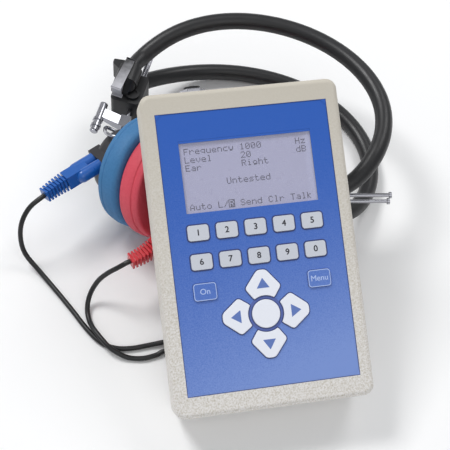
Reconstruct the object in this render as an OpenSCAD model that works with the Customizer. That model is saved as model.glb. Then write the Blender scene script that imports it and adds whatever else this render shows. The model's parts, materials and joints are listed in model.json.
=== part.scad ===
// Hand-held screening audiometer leaning on its own two-band audiometric headset.
// Millimetres. +X runs along the lower edge of the hand-held unit, +Y from that edge
// towards its top end, +Z up. The origin is under the middle of the bounding box.

/* [Hand-held unit] */
// Width of the case
case_w = 111; // [100:1:130]
// Length of the case
case_l = 177; // [165:1:200]
// Thickness of the case
case_t = 38; // [34:1:46]
// Thickness of the front half of the case
front_t = 22; // [18:1:26]
// Radius of the case corners seen from the front
case_corner = 6; // [4:0.5:10]
// Radius of the front and rear edges
case_edge = 3; // [1.5:0.5:4]
// Draw-in of the rear face on each side
case_draft = 1.5; // [0:0.5:3]
// Wall thickness of the case
case_wall = 2.2; // [1.6:0.1:3]
// Lean of the unit on the headset, in degrees from the table
lean = 30.5; // [26:0.5:36]

/* [Control panel] */
// Width of the blue panel
panel_w = 95.5; // [86:0.5:100]
// Length of the blue panel
panel_l = 153.3; // [140:0.1:160]
// Thickness of the panel
panel_t = 0.8; // [0.5:0.1:1.2]
// Depth of the recess that holds the panel
panel_recess = 1; // [0.6:0.1:1.4]
// Width of the display window
window_w = 73.4; // [64:0.2:80]
// Height of the display window
window_h = 39.6; // [34:0.2:44]
// Height of the window's middle above the panel's middle
window_v = 41.3; // [38:0.1:46]

/* [Keys] */
// Spacing of the number keys
key_pitch = 15.875; // [14:0.125:17]
// Width of a number key
key_w = 11.7; // [9:0.1:13]
// Height of a number key
key_h = 8.5; // [7:0.1:10]
// Height of the upper number row above the panel's middle
key_row = 10.6; // [9:0.1:13]
// Width of a soft key
soft_w = 12.8; // [10:0.1:15]
// Height of a soft key
soft_h = 9.6; // [8:0.1:11]
// Distance of each soft key from the panel's middle line
soft_u = 31.8; // [30:0.1:34]
// Height of the soft keys below the panel's middle
soft_v = 21.5; // [20:0.1:23]
// Height of the arrow pad's middle below the panel's middle
pad_v = 37.2; // [36:0.1:40]
// Diameter of the round centre key
pad_d = 15.5; // [12:0.1:16.5]
// Width of an arrow key
arrow_w = 20; // [16:0.5:21]
// Distance of an arrow key's middle from the pad's middle
arrow_reach = 16; // [15:0.5:18]
// Stand of the key caps above the case face
key_stand = 0.6; // [0.3:0.1:1]
// Travel of a key
key_travel = 0.5; // [0.3:0.1:0.6]

/* [Battery and boards] */
// Diameter of a battery cell
cell_d = 14.5; // [14:0.1:15]
// Length of a battery cell
cell_l = 50.5; // [48:0.5:52]
// Number of cells side by side
cell_count = 4; // [2:1:4]
// Thickness of the battery door
door_t = 2; // [1.6:0.1:2.4]
// Thickness of the circuit boards
board_t = 1.6; // [1:0.1:2]
// Radius of the headset jack's bore
jack_r = 3.25; // [3:0.05:3.5]
// Depth of the headset jack's bore
jack_depth = 24; // [18:1:30]

/* [Headset] */
// Radius of an ear cushion; the blue one stands on the table on its rim
cushion_r = 35; // [32:0.5:38]
// Depth of an ear cushion
cushion_t = 15.5; // [13:0.5:18]
// Radius of the earphone body
can_r = 24.5; // [22:0.5:26]
// Turn of the cushions' common axis from the width of the unit, in degrees
face_turn = 47; // [42:0.5:52]
// Rise of the cushions' common axis from the table, in degrees
face_rise = 18; // [14:0.5:22]
// Diameter of a yoke rod
rod_d = 2.4; // [2:0.1:3]
// Spacing of the two rods of a yoke
rod_gap = 6.4; // [5.6:0.2:8]
// Heading of the blue arm, in degrees from +X
blue_heading = 66.5; // [62:0.5:70]
// Heading of the red arm, in degrees from +X
red_heading = -7.5; // [-10:0.5:-5]
// Distance of the blue yoke block from the foot of its arm
blue_reach = 64; // [62:1:70]
// Distance of the red yoke block from the foot of its arm
red_reach = 86; // [80:1:100]
// Distance of the blue rods' heads from the foot of their arm
blue_rod_l = 108; // [104:1:124]
// Distance of the red rods' heads from the foot of their arm
red_rod_l = 139; // [130:1:146]

/* [Headband] */
// Diameter of a headband sleeve
sleeve_d = 9.8; // [8:0.1:11]
// Diameter of the spring wire inside a sleeve
spring_d = 3.6; // [3:0.1:4]
// Half the width of the headband arch
arch_half_w = 83.6; // [80:0.2:88]
// Depth of the headband arch's ellipse
arch_depth = 69.4; // [66:0.2:73]
// Heading of the arch's crown, in degrees from +X
arch_heading = 65.2; // [63:0.2:68]
// Height of the upper sleeve's middle at the crown
crown_z = 58; // [54:0.5:62]
// Height of each sleeve above or below the middle at the yoke blocks
fork_half = 14; // [12:0.5:16]

/* [Leads] */
// Diameter of an earphone lead
lead_d = 2.9; // [2.5:0.1:3.2]
// Diameter of the joined lead
trunk_d = 3.6; // [3.2:0.1:3.8]
// Number of turns in the coil of spare lead
coil_turns = 8.5; // [6.5:1:8.5]
// Outer radius of the coil, to the lead's middle
coil_r = 28.8; // [28:0.2:30]
// Clear gap between the turns of the coil
coil_gap = 0.55; // [0.5:0.05:0.7]

/* [Hidden] */

// Colours, as the object shows them
beige = [0.80, 0.77, 0.70];
panel_blue = [0.16, 0.35, 0.72];
key_grey = [0.86, 0.88, 0.92];
black = [0.09, 0.09, 0.10];
dark_grey = [0.22, 0.21, 0.22];
chrome = [0.78, 0.78, 0.80];
cushion_blue = [0.22, 0.45, 0.66];
cushion_red = [0.74, 0.20, 0.27];
board_green = [0.10, 0.36, 0.20];

// General fits
fit = 0.15;
slide_fit = 0.08;
arc_fn = 24;
round_fn = 48;
blue = 0;
red = 1;

// Hand-held unit in its own frame: the face is z = 0, the top end is +y
half_l = case_l / 2;
half_w = case_w / 2;
rib = 1.6;
face_wall = panel_recess + case_wall;
face_y = half_l * cos(lean) - case_t * sin(lean);
face_z = case_edge + (half_l - case_draft - case_edge) * sin(lean)
    + (case_t - case_edge) * cos(lean);

// Keys
cap_t = 1;
cap_corner = 1.6;
stem_r = 2;
stem_l = face_wall + 1.7;
flange_r = 3.2;
flange_t = 0.8;
dome_gap = key_travel + 0.1;
dome_h = 0.5;
dome_r = 3.5;
board_top = -(stem_l + dome_gap + dome_h);
number_cols = 5;
arrow_t = 16;
arrow_ring = 2.2;

// Display
lens_t = 1.2;
lens_sink = 0.2;
glass_t = 2.8;
glass_top = -(lens_sink + lens_t);
frame_rim = 2.6;
frame_t = 3.2;
frame_top = -face_wall - 0.05;
display_board_w = window_w + 20;
display_board_h = window_h + 9;
display_board_top = frame_top - frame_t;

// Key board
key_board_w = 84;
key_board_top_v = key_row + key_h / 2 + 1.7;
key_board_bottom_v = -pad_v - arrow_reach - 11;
key_board_h = key_board_top_v - key_board_bottom_v;
key_board_v = (key_board_top_v + key_board_bottom_v) / 2;

// Battery compartment in the rear half
bay_gap = 0.3;
bay_w = cell_count * (cell_d + bay_gap) + bay_gap;
bay_l = cell_l + 7;
bay_top_v = -16;
bay_v = bay_top_v - bay_l / 2;
bay_floor = -case_t + door_t + 0.1;
bay_roof = bay_floor + cell_d + 2 * bay_gap;
door_w = bay_w + 2;
door_tongue = 1.1;
door_top_v = bay_top_v + 4;
cell_z = bay_floor + bay_gap + cell_d / 2;

// Main board, over the bay's roof
main_board_top = bay_roof + rib + 0.2 + board_t;
main_board_w = 84;
main_board_l = 118;
main_board_v = 1;

// Screws
screw_r = 1.4;
screw_head_r = 2.7;
screw_head_t = 2;
post_r = 3.5;
case_screw_u = half_w - case_wall - post_r - 0.8;
case_screw_v = half_l - case_wall - post_r - 0.8;
case_screw_head = -case_t + 2.6;
case_screw_tip = -8;
board_screw_r = 1;
board_screw_head_r = 2;
board_screw_head_t = 1.2;
board_post_r = 2.6;
board_screw_l = 4;
key_screw_u = key_board_w / 2 - 3.5;
key_screw_top = key_board_top_v - 3.2;
key_screw_low = key_board_bottom_v + 3.2;
display_screw_u = display_board_w / 2 - 3;
display_screw_half_v = display_board_h / 2 - 3;

// Headset jack through the top end
jack_u = -24;
jack_z = -13;
jack_thread_r = 4.7;
jack_body = [15, 20, 12];
jack_nut_r = 7.2;
jack_nut_t = 2.4;
jack_stand = 4;

// Earphones in their own frame: the pivot is the origin, +x faces the other earphone
middle_z = 34;
cushion_back = 3.5;
front_reach = cushion_back + cushion_t;
can_back = 14.5;
can_rear_r = can_r - 3.5;
face_gap = 0.5;
seat_gap = 0.8;
table_gap = 0.3;
wide_back = cushion_back + 0.8;
facing_dir = [cos(face_rise) * cos(face_turn), -cos(face_rise) * sin(face_turn), sin(face_rise)];
upward_dir = [-sin(face_rise) * cos(face_turn), sin(face_rise) * sin(face_turn), cos(face_rise)];
unit_normal = [0, -sin(lean), cos(lean)];
unit_back = unit_normal * [0, face_y, face_z] - case_t;
blue_pivot = [-57, 152.5,
    cushion_r * cos(face_rise) - wide_back * sin(face_rise) + table_gap];
stacked = blue_pivot + (2 * front_reach + face_gap) * facing_dir;
face_tilt = unit_normal * facing_dir;
crown_reach = cushion_r * sqrt(1 - face_tilt * face_tilt) - wide_back * face_tilt;
face_slip = (unit_normal * stacked + crown_reach + seat_gap - unit_back)
    / (unit_normal * upward_dir);
pivot = [blue_pivot, stacked - face_slip * upward_dir];
facing = [facing_dir, -facing_dir];
face_angle = [-face_turn, 180 - face_turn];
face_pitch = [-face_rise, face_rise];
arm_angle = [blue_heading, red_heading];
arm_foot = [[-73.8, 145.4, middle_z], [-43, 124.8, middle_z]];
arm_dir = [[cos(blue_heading), sin(blue_heading), 0], [cos(red_heading), sin(red_heading), 0]];
arm_reach = [blue_reach, red_reach];
rod_l = [blue_rod_l, red_rod_l];

// Yoke, in the arm's frame: +x runs from the pivot to the block
rod_r = rod_d / 2;
leg_z = can_r + 1.2 + rod_r;
rod_z = rod_gap / 2;
leg_back = 9;
straight_x = [35, 42];
pin_l = 4.5;
head_r = 2;
head_t = 1.4;
clamp_x = [36, 43];
clamp_l = 9;
clamp_half_h = rod_z + 3;
barrel_r = 2.6;
barrel_y = 15.5;
barrel_z = 8;
barrel_x = -10;
barrel_l = 22;

// Yoke block, in the arm's frame about its own middle
block_half = 12;
block_in = 6.5;
block_out = 13;
block_half_h = 10;
socket_r = 6.4;
socket_l = 13;
socket_y = 5;
rib_r = 3.4;
rib_y = 11;
rib_z = 11;
boss_r = 4.3;

// Headband arch
arch_x = 19.8;
arch_y = 172.5;
arch_low_z = sleeve_d / 2 + 0.2;
arch_first = -66;
arch_last = 96;
arch_mid = 36;
arch_fade = 100;
arch_steps = 24;

// Plugs: front face at the earphone's socket, +x towards the lead
plug_front = [[-9.8, -16.5, 13.5], [-10.5, 16.5, -13.5]];
plug_heading = [208, 214];
plug_dip = [4, 0];
boot_bend = [8, -14];
plug_roll = [20, 0];
lobe_r = 4.1;
lobe_l = 13;
lobe_y = 4.4;
plug_block_l = 11;
plug_block_w = 8.8;
boot_l = 15.5;
boot_ribs = 7;
boot_rib_t = 1.2;
boot_core = 5.2;
plug_pin_r = 0.8;
plug_pin_l = 6;
plug_clear_y = lobe_y + lobe_r + 0.3;
plug_clear_z = lobe_r + 0.3;
boot_end_half = (plug_block_w - 1.6) / 2;
socket_block = [8, 17.5, 8.5];

// Leads, in the bench frame; every point is a round number
table = 1.6;
blue_route = [[-121, 127, 36.5], [-126.5, 122.5, 29.5], [-128.7, 118, 19.5], [-127.2, 112.5, 9.5],
    [-120, 103, 3.2], [-111, 88, 1.8], [-103, 73.5, table], [-96, 60, table],
    [-89, 50, table], [-81, 45, table], [-72, 43.5, table], [-62, 44, table],
    [-54, 44.4, 2.2]];
red_route = [[-74.5, 82.2, 29.5], [-80, 83, 24], [-85.5, 83.3, 17], [-90, 81.5, 10],
    [-93, 77.5, 5], [-94.3, 72, 2.4], [-94, 66, 1.9], [-92.7, 60, 3.4], [-90, 53.5, 4.9],
    [-85, 45, 4.9], [-80, 40.5, 3.6], [-74, 37.5, 1.8], [-66, 36, table], [-58, 37, table],
    [-54, 38.4, 2.2]];
joint_x = -45;
joint_y = 41.4;
joint_l = 17;
joint_half = 3;
coil_x = 9;
coil_y = 62;
coil_low = 1.9;
coil_step = trunk_d + coil_gap;
coil_rings = 24;
jack_plug_y = 22.5;
jack_plug_z = 4.8;
jack_plug_x = 21;
boot_long = 10;
handle_r = 4.75;
handle_l = 25;
tip_r = 3.175;
tip_l = 30;

// Place of the origin in the bench frame: the middle of the box round everything but the leads
arch_right = arch_x + sqrt(pow(arch_half_w * sin(arch_heading), 2)
    + pow(arch_depth * cos(arch_heading), 2)) + sleeve_d / 2;
arch_top = arch_y + sqrt(pow(arch_half_w * cos(arch_heading), 2)
    + pow(arch_depth * sin(arch_heading), 2)) + sleeve_d / 2;
plug_left = boot_end(blue).x
    - boot_end_half * (abs(plug_way(blue, boot_bend[blue] + 90).x) + abs(plug_top(blue).x));
case_front = face_y - (half_l - case_edge) * cos(lean) + case_edge * sin(lean) - case_edge;
origin_x = (arch_right + plug_left) / 2;
origin_y = (arch_top + case_front) / 2;

// ---------------------------------------------------------------- helpers

function unit(v) = v / norm(v);

// Corner-rounded polygon of a w by l rectangle
function round_rect(w, l, r, n = 4) = [for (q = [0:3]) for (k = [0:n])
    let (a = 90 * q + 90 * k / n,
         sx = (q == 0 || q == 3) ? 1 : -1,
         sy = q < 2 ? 1 : -1)
    [sx * (w / 2 - r) + r * cos(a), sy * (l / 2 - r) + r * sin(a)]];

// Points of a polygon with each corner turned into a small arc
function soften(p, r, n = 3) = let (c = len(p)) [for (i = [0:c - 1])
    let (here = p[i],
         back = unit(p[(i + c - 1) % c] - here),
         next = unit(p[(i + 1) % c] - here))
    for (k = [0:n])
        let (t = k / n)
        here + r * (pow(1 - t, 2) * back + pow(t, 2) * next)];

// One point of a Catmull-Rom curve between b and c
function spline(a, b, c, d, t) = 0.5 * (2 * b + (c - a) * t
    + (2 * a - 5 * b + 4 * c - d) * t * t + (3 * b - a - 3 * c + d) * t * t * t);

// A smooth path through hand-set points, with n steps in each span
function smooth(p, n) = let (m = len(p) - 1) concat(
    [for (i = [0:m - 1]) for (k = [0:n - 1])
        spline(p[max(i - 1, 0)], p[i], p[i + 1], p[min(i + 2, m)], k / n)],
    [p[m]]);

// Direction of a path at point i
function heading_at(path, i) = let (m = len(path) - 1)
    unit(path[min(i + 1, m)] - path[max(i - 1, 0)]);

// Points of the ring round path point i
function ring(path, i, r, sides) = let (
    t = i == 0 ? unit(path[1] - path[0])
        : i == len(path) - 1 ? unit(path[i] - path[i - 1]) : heading_at(path, i),
    s = unit(cross(t, [0, 0, 1])),
    u = cross(s, t))
    [for (k = [0:sides - 1]) path[i] + r * (cos(360 * k / sides) * s + sin(360 * k / sides) * u)];

// A round tube swept along a path, with a bore where bore_r is over 0
module tube(path, r, sides, bore_r = 0) {
    rings = len(path);
    layers = bore_r > 0 ? 2 : 1;
    shell = rings * sides;
    points = [for (q = [0:layers - 1]) for (i = [0:rings - 1])
        each ring(path, i, q == 0 ? r : bore_r, sides)];
    walls = [for (q = [0:layers - 1]) for (i = [0:rings - 2]) for (k = [0:sides - 1])
        let (a = q * shell + i * sides + k,
             b = q * shell + i * sides + (k + 1) % sides,
             c = b + sides,
             d = a + sides)
        each (q == 0 ? [[a, b, c], [a, c, d]] : [[a, c, b], [a, d, c]])];
    last = (rings - 1) * sides;
    solid_ends = [[for (k = [0:sides - 1]) sides - 1 - k],
        [for (k = [0:sides - 1]) last + k]];
    hollow_ends = [for (k = [0:sides - 1]) let (n = (k + 1) % sides)
        each [[k, shell + k, shell + n], [k, shell + n, n],
            [last + k, last + n, shell + last + n],
            [last + k, shell + last + n, shell + last + k]]];
    polyhedron(points, concat(walls, bore_r > 0 ? hollow_ends : solid_ends), convexity = 8);
}

// From the bench frame, whose origin is under the unit's lower rear edge, to the part's own
module bench() {
    translate([-origin_x, -origin_y, 0]) children();
}

module on_face() {
    bench() translate([0, face_y, face_z]) rotate([lean, 0, 0]) children();
}

module at_earphone(side) {
    bench() translate(pivot[side]) rotate([0, face_pitch[side], face_angle[side]]) children();
}

// Turns +z to the direction v
module along(v) {
    rotate([0, acos(v.z / norm(v)), atan2(v.y, v.x)]) children();
}

// The axis about which an earphone turns in its yoke
function swivel(side) = let (v = unit(cross(arm_dir[side], facing[side]))) v.z < 0 ? -v : v;

module at_swivel(side) {
    bench() translate(pivot[side]) along(swivel(side)) children();
}

// The red arm is the mirror image of the blue one
module at_arm(side) {
    bench() translate(arm_foot[side]) rotate([0, 0, arm_angle[side]])
        mirror([0, side, 0]) children();
}

module at_block(side) {
    at_arm(side) translate([arm_reach[side], 0, 0]) children();
}

// A cylinder along +x
module rod_x(r, l, fn = arc_fn) {
    rotate([0, 90, 0]) cylinder(r = r, h = l, $fn = fn);
}

// ---------------------------------------------------------------- case

// Filleted slab from z = 0 down to -depth, drawn in by draft at the bottom
module case_block(depth, edge_at_top, draft) {
    edge = case_edge;
    levels = 3;
    hull() for (sx = [-1, 1], sy = [-1, 1]) {
        x = half_w - case_corner;
        y = half_l - case_corner;
        inner = edge_at_top ? 0 : draft;
        for (k = [0:levels]) {
            a = 90 * k / levels;
            r = case_corner - edge * (1 - cos(a));
            z = edge_at_top ? -edge * (1 - sin(a)) : -depth + edge * (1 - sin(a));
            translate([sx * (x - inner), sy * (y - inner), z - (edge_at_top ? 0.01 : 0)])
                cylinder(r = r, h = 0.01, $fn = arc_fn);
        }
        translate([sx * x, sy * y, edge_at_top ? -depth : -0.01])
            cylinder(r = case_corner, h = 0.01, $fn = arc_fn);
    }
}

module case_cavity(top, bottom, draft) {
    corner = case_corner - case_wall + 0.6;
    hull() for (sx = [-1, 1], sy = [-1, 1]) {
        x = half_w - case_wall - corner;
        y = half_l - case_wall - corner;
        translate([sx * x, sy * y, top - 0.01]) cylinder(r = corner, h = 0.01, $fn = 16);
        translate([sx * (x - draft), sy * (y - draft), bottom])
            cylinder(r = corner, h = 0.01, $fn = 16);
    }
}

function key_at(i) = [(i % number_cols - 2) * key_pitch,
    key_row - floor(i / number_cols) * key_pitch];

arrow_points = [[-arrow_w / 2, -1.5], [-arrow_w * 0.27, -arrow_t / 2], [arrow_w * 0.27, -arrow_t / 2],
    [arrow_w / 2, -1.5], [2.4, arrow_t / 2], [-2.4, arrow_t / 2]];

// Outline of an arrow key that points up, grown by extra
module arrow_shape(extra) {
    grow = 1 + 2 * extra / arrow_w;
    difference() {
        scale([grow, grow]) polygon(soften(arrow_points, 1.6));
        translate([0, -arrow_reach]) circle(r = pad_d / 2 + arrow_ring - extra, $fn = round_fn);
    }
}

// Places and outlines of all the keys, cut through with a margin of extra
module at_key(name) {
    numbers = ["1", "2", "3", "4", "5", "6", "7", "8", "9", "0"];
    found = search([name], numbers)[0];
    if (is_num(found)) translate(key_at(found)) children();
    if (name == "soft_left") translate([-soft_u, -soft_v]) children();
    if (name == "soft_right") translate([soft_u, -soft_v]) children();
    if (name == "centre") translate([0, -pad_v]) children();
    arrows = ["up", "left", "down", "right"];
    turn = search([name], arrows)[0];
    if (is_num(turn))
        translate([0, -pad_v]) rotate([0, 0, 90 * turn]) translate([0, arrow_reach]) children();
}

module key_shape(name, extra) {
    if (name == "centre") circle(r = pad_d / 2 + extra, $fn = round_fn);
    else if (name == "soft_left" || name == "soft_right")
        polygon(round_rect(soft_w + 2 * extra, soft_h + 2 * extra, cap_corner + extra));
    else if (name == "up" || name == "left" || name == "down" || name == "right")
        arrow_shape(extra);
    else polygon(round_rect(key_w + 2 * extra, key_h + 2 * extra, cap_corner + extra));
}

key_names = ["1", "2", "3", "4", "5", "6", "7", "8", "9", "0", "up", "left", "down",
    "right", "centre", "soft_left", "soft_right"];

// One key: cap on the panel, stem through the face and a flange that keeps it in
module key(name) {
    color(name == "soft_left" || name == "soft_right" ? panel_blue : key_grey)
    on_face() at_key(name) {
        translate([0, 0, key_stand - cap_t]) linear_extrude(cap_t) key_shape(name, 0);
        translate([0, 0, -stem_l]) cylinder(r = stem_r, h = stem_l + key_stand - cap_t / 2, $fn = 16);
        translate([0, 0, -face_wall - 0.05 - flange_t]) cylinder(r = flange_r, h = flange_t, $fn = 16);
    }
}

module key_1() {
    key("1");
}

module key_2() {
    key("2");
}

module key_3() {
    key("3");
}

module key_4() {
    key("4");
}

module key_5() {
    key("5");
}

module key_6() {
    key("6");
}

module key_7() {
    key("7");
}

module key_8() {
    key("8");
}

module key_9() {
    key("9");
}

module key_0() {
    key("0");
}

module key_up() {
    key("up");
}

module key_left() {
    key("left");
}

module key_down() {
    key("down");
}

module key_right() {
    key("right");
}

module key_centre() {
    key("centre");
}

module key_soft_left() {
    key("soft_left");
}

module key_soft_right() {
    key("soft_right");
}

module display_screw_places() {
    for (sx = [-1, 1], sy = [-1, 1])
        translate([sx * display_screw_u, window_v + sy * display_screw_half_v, 0]) children();
}

module key_screw_places() {
    for (sx = [-1, 1], v = [key_screw_top, key_screw_low])
        translate([sx * key_screw_u, v, 0]) children();
}

// Cuts through the top end for the headset jack
module jack_hole(extra) {
    translate([jack_u, half_l + 1, jack_z]) rotate([90, 0, 0])
        cylinder(r = jack_thread_r + extra, h = case_wall + 6, $fn = round_fn);
}

module front_case() {
    color(beige) on_face() difference() {
        union() {
            difference() {
                case_block(front_t, true, 0);
                case_cavity(-face_wall, -front_t - 1, 0);
            }
            for (sx = [-1, 1], sy = [-1, 1])
                translate([sx * case_screw_u, sy * case_screw_v, -front_t])
                    cylinder(r = post_r, h = front_t - face_wall + 0.5, $fn = arc_fn);
            display_screw_places() translate([0, 0, display_board_top])
                cylinder(r = board_post_r, h = -display_board_top - face_wall + 0.5, $fn = 16);
            key_screw_places() translate([0, 0, board_top])
                cylinder(r = board_post_r, h = -board_top - face_wall + 0.5, $fn = 16);
        }
        translate([0, 0, -panel_recess])
            linear_extrude(panel_recess + 1) polygon(round_rect(panel_w + 2 * fit, panel_l + 2 * fit, 2));
        translate([0, window_v, -face_wall - 1])
            linear_extrude(face_wall + 2) square([window_w + fit, window_h + fit], center = true);
        for (name = key_names)
            at_key(name) translate([0, 0, -face_wall - 1])
                cylinder(r = stem_r + fit, h = face_wall + 2, $fn = 16);
        for (sx = [-1, 1], sy = [-1, 1])
            translate([sx * case_screw_u, sy * case_screw_v, -front_t - 1])
                cylinder(r = screw_r + 0.05, h = front_t + 1 + case_screw_tip + 1, $fn = 16);
        display_screw_places() translate([0, 0, display_board_top - 1])
            cylinder(r = board_screw_r + 0.05, h = board_screw_l + 0.5, $fn = 16);
        key_screw_places() translate([0, 0, board_top - 1])
            cylinder(r = board_screw_r + 0.05, h = board_screw_l + 0.5, $fn = 16);
        jack_hole(fit);
    }
}

// Opening for the battery door: a wide inner groove over a narrower mouth
module door_opening(extra) {
    front_v = -half_l - 1;
    length = door_top_v + extra - front_v;
    translate([-door_w / 2 - extra, front_v, -case_t - 1])
        cube([door_w + 2 * extra, length, 1 + door_t / 2 + extra]);
    translate([-door_w / 2 - door_tongue - extra, front_v, -case_t + door_t / 2 - extra])
        cube([door_w + 2 * (door_tongue + extra), length, door_t / 2 + extra]);
}

module rear_case() {
    color(beige) on_face() difference() {
        union() {
            difference() {
                translate([0, 0, -front_t]) case_block(case_t - front_t, false, case_draft);
                case_cavity(-front_t + 1, -case_t + case_wall, case_draft);
            }
            translate([-bay_w / 2 - rib, bay_top_v - bay_l - rib, -case_t + 1])
                cube([bay_w + 2 * rib, bay_l + 2 * rib, case_t - 1 + bay_roof + rib]);
            for (sx = [-1, 1], sy = [-1, 1])
                translate([sx * case_screw_u, sy * case_screw_v, -case_t + 1])
                    cylinder(r = post_r, h = case_t - 1 - front_t, $fn = arc_fn);
        }
        translate([-bay_w / 2, bay_top_v - bay_l, bay_floor - 0.2])
            cube([bay_w, bay_l, bay_roof - bay_floor + 0.2]);
        door_opening(fit);
        for (sx = [-1, 1], sy = [-1, 1])
            translate([sx * case_screw_u, sy * case_screw_v, -case_t - 1]) {
                cylinder(r = screw_r + 0.2, h = case_t, $fn = 16);
                cylinder(r = screw_head_r + 0.3, h = case_screw_head + case_t + 1 + screw_head_t, $fn = arc_fn);
            }
    }
}

module battery_door() {
    grips = 4;
    color(beige) on_face() difference() {
        intersection() {
            translate([0, 0, -front_t]) case_block(case_t - front_t, false, case_draft);
            union() {
                translate([-door_w / 2, -half_l, -case_t])
                    cube([door_w, half_l + door_top_v, door_t]);
                translate([-door_w / 2 - door_tongue, -half_l, -case_t + door_t / 2])
                    cube([door_w + 2 * door_tongue, half_l + door_top_v, door_t / 2]);
            }
        }
        for (k = [0:grips - 1])
            translate([-10, door_top_v - 8 - 3 * k, -case_t - 1]) cube([20, 1.2, 1.5]);
    }
}

module control_panel() {
    color(panel_blue) on_face() translate([0, 0, -panel_recess]) difference() {
        linear_extrude(panel_t) polygon(round_rect(panel_w, panel_l, 2));
        translate([0, 0, -1]) linear_extrude(panel_t + 2) {
            translate([0, window_v]) square([window_w + fit, window_h + fit], center = true);
            for (name = key_names) at_key(name) key_shape(name, fit);
        }
    }
}

module display_window() {
    color([0.75, 0.78, 0.86, 0.4]) on_face()
        translate([-window_w / 2, window_v - window_h / 2, glass_top])
            cube([window_w, window_h, lens_t]);
}

module display_glass() {
    color([0.62, 0.60, 0.74]) on_face()
        translate([-window_w / 2, window_v - window_h / 2, glass_top - glass_t])
            cube([window_w, window_h, glass_t]);
}

// Pressed metal frame round the glass, with a floor plate behind it
module display_frame() {
    color(chrome) on_face() translate([0, window_v, frame_top - frame_t]) difference() {
        linear_extrude(frame_t)
            square([window_w + 2 * frame_rim, window_h + 2 * frame_rim], center = true);
        translate([0, 0, glass_top - glass_t - frame_top + frame_t])
            linear_extrude(frame_t) square([window_w + fit, window_h + fit], center = true);
    }
}

module display_board() {
    color(board_green) on_face() translate([0, window_v, display_board_top - board_t])
        difference() {
            linear_extrude(board_t) square([display_board_w, display_board_h], center = true);
            for (sx = [-1, 1], sy = [-1, 1])
                translate([sx * display_screw_u, sy * display_screw_half_v, -1])
                    cylinder(r = board_screw_r + 0.2, h = board_t + 2, $fn = 16);
        }
}

module key_board() {
    color(board_green) on_face() difference() {
        translate([0, key_board_v, board_top - board_t])
            linear_extrude(board_t) square([key_board_w, key_board_h], center = true);
        key_screw_places() translate([0, 0, board_top - board_t - 1])
            cylinder(r = board_screw_r + 0.2, h = board_t + 2, $fn = 16);
    }
}

module snap_domes() {
    color(chrome) on_face() for (name = key_names)
        at_key(name) translate([0, 0, board_top]) {
            cylinder(r = dome_r, h = dome_h / 2, $fn = 16);
            cylinder(r = dome_r - 1.2, h = dome_h, $fn = 16);
        }
}

// Main board over the battery bay, with its largest chips
module main_board() {
    chips = [[0, 40, 14, 14], [-22, 44, 9, 16], [24, 36, 10, 10], [16, 53, 14, 7]];
    color(board_green) on_face() {
        translate([0, main_board_v, main_board_top - board_t])
            linear_extrude(board_t) square([main_board_w, main_board_l], center = true);
        for (c = chips)
            translate([c[0] - c[2] / 2, c[1] - c[3] / 2, main_board_top]) cube([c[2], c[3], 1.8]);
    }
}

// Jack: threaded bush through the top end, and its body inside
module headset_jack() {
    color(dark_grey) on_face() translate([jack_u, 0, jack_z]) difference() {
        union() {
            translate([0, half_l + jack_stand, 0]) rotate([90, 0, 0])
                cylinder(r = jack_thread_r, h = jack_stand + case_wall + 0.5, $fn = round_fn);
            translate([-jack_body.x / 2, half_l - case_wall - 0.05 - jack_body.y, -jack_body.z / 2])
                cube(jack_body);
        }
        translate([0, half_l + jack_stand + 1, 0]) rotate([90, 0, 0])
            cylinder(r = jack_r, h = jack_depth + 1, $fn = round_fn);
    }
}

module jack_nut() {
    color(chrome) on_face() translate([jack_u, half_l + 0.05 + jack_nut_t, jack_z])
        rotate([90, 0, 0]) difference() {
            cylinder(r = jack_nut_r, h = jack_nut_t, $fn = 6);
            translate([0, 0, -1])
                cylinder(r = jack_thread_r + 0.05, h = jack_nut_t + 2, $fn = round_fn);
        }
}

module cell_places() {
    for (k = [0:cell_count - 1])
        translate([(k - (cell_count - 1) / 2) * (cell_d + bay_gap), bay_v, cell_z]) children();
}

module battery_cells() {
    color([0.62, 0.47, 0.24]) on_face() cell_places() rotate([90, 0, 0]) {
        cylinder(r = cell_d / 2, h = cell_l - 1.4, center = true, $fn = arc_fn);
        translate([0, 0, -cell_l / 2]) cylinder(r = 2.7, h = 1.4, $fn = 16);
    }
}

// Spring-steel contact plates at both ends of the bay
module battery_contacts() {
    plate_t = 0.4;
    color(chrome) on_face() cell_places() for (s = [-1, 1])
        translate([0, s * (bay_l / 2 - plate_t / 2 - 0.02), 0]) {
            cube([9, plate_t, 11], center = true);
            translate([0, -s * 1.4, 0]) rotate([90, 0, 0])
                cylinder(r = 2.5, h = 2.8, center = true, $fn = 16);
        }
}

module handset_screws() {
    color(chrome) on_face() {
        for (sx = [-1, 1], sy = [-1, 1])
            translate([sx * case_screw_u, sy * case_screw_v, case_screw_head]) {
                cylinder(r = screw_head_r, h = screw_head_t - 0.05, $fn = arc_fn);
                cylinder(r = screw_r, h = case_screw_tip - case_screw_head, $fn = 16);
            }
        display_screw_places() board_screw(display_board_top - board_t);
        key_screw_places() board_screw(board_top - board_t);
    }
}

module board_screw(under) {
    translate([0, 0, under - board_screw_head_t]) {
        cylinder(r = board_screw_head_r, h = board_screw_head_t, $fn = 16);
        cylinder(r = board_screw_r, h = board_screw_head_t + board_screw_l, $fn = 16);
    }
}

// ---------------------------------------------------------------- headset

// Point on the arch's ellipse, at the height of the upper (s = 1) or lower (s = -1) sleeve
function arch_point(a, s) =
    let (fade = pow(abs(a - arch_mid) / arch_fade, 4),
         across = arch_half_w * sin(a),
         out = arch_depth * cos(a),
         crown = s > 0 ? crown_z : arch_low_z)
    [arch_x + across * sin(arch_heading) + out * cos(arch_heading),
     arch_y - across * cos(arch_heading) + out * sin(arch_heading),
     crown + (middle_z + s * fork_half - crown) * fade];

// Away from the arch, across an arm
function outward(side) = (side == blue ? 1 : -1) * [-sin(arm_angle[side]), cos(arm_angle[side]), 0];

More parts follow.
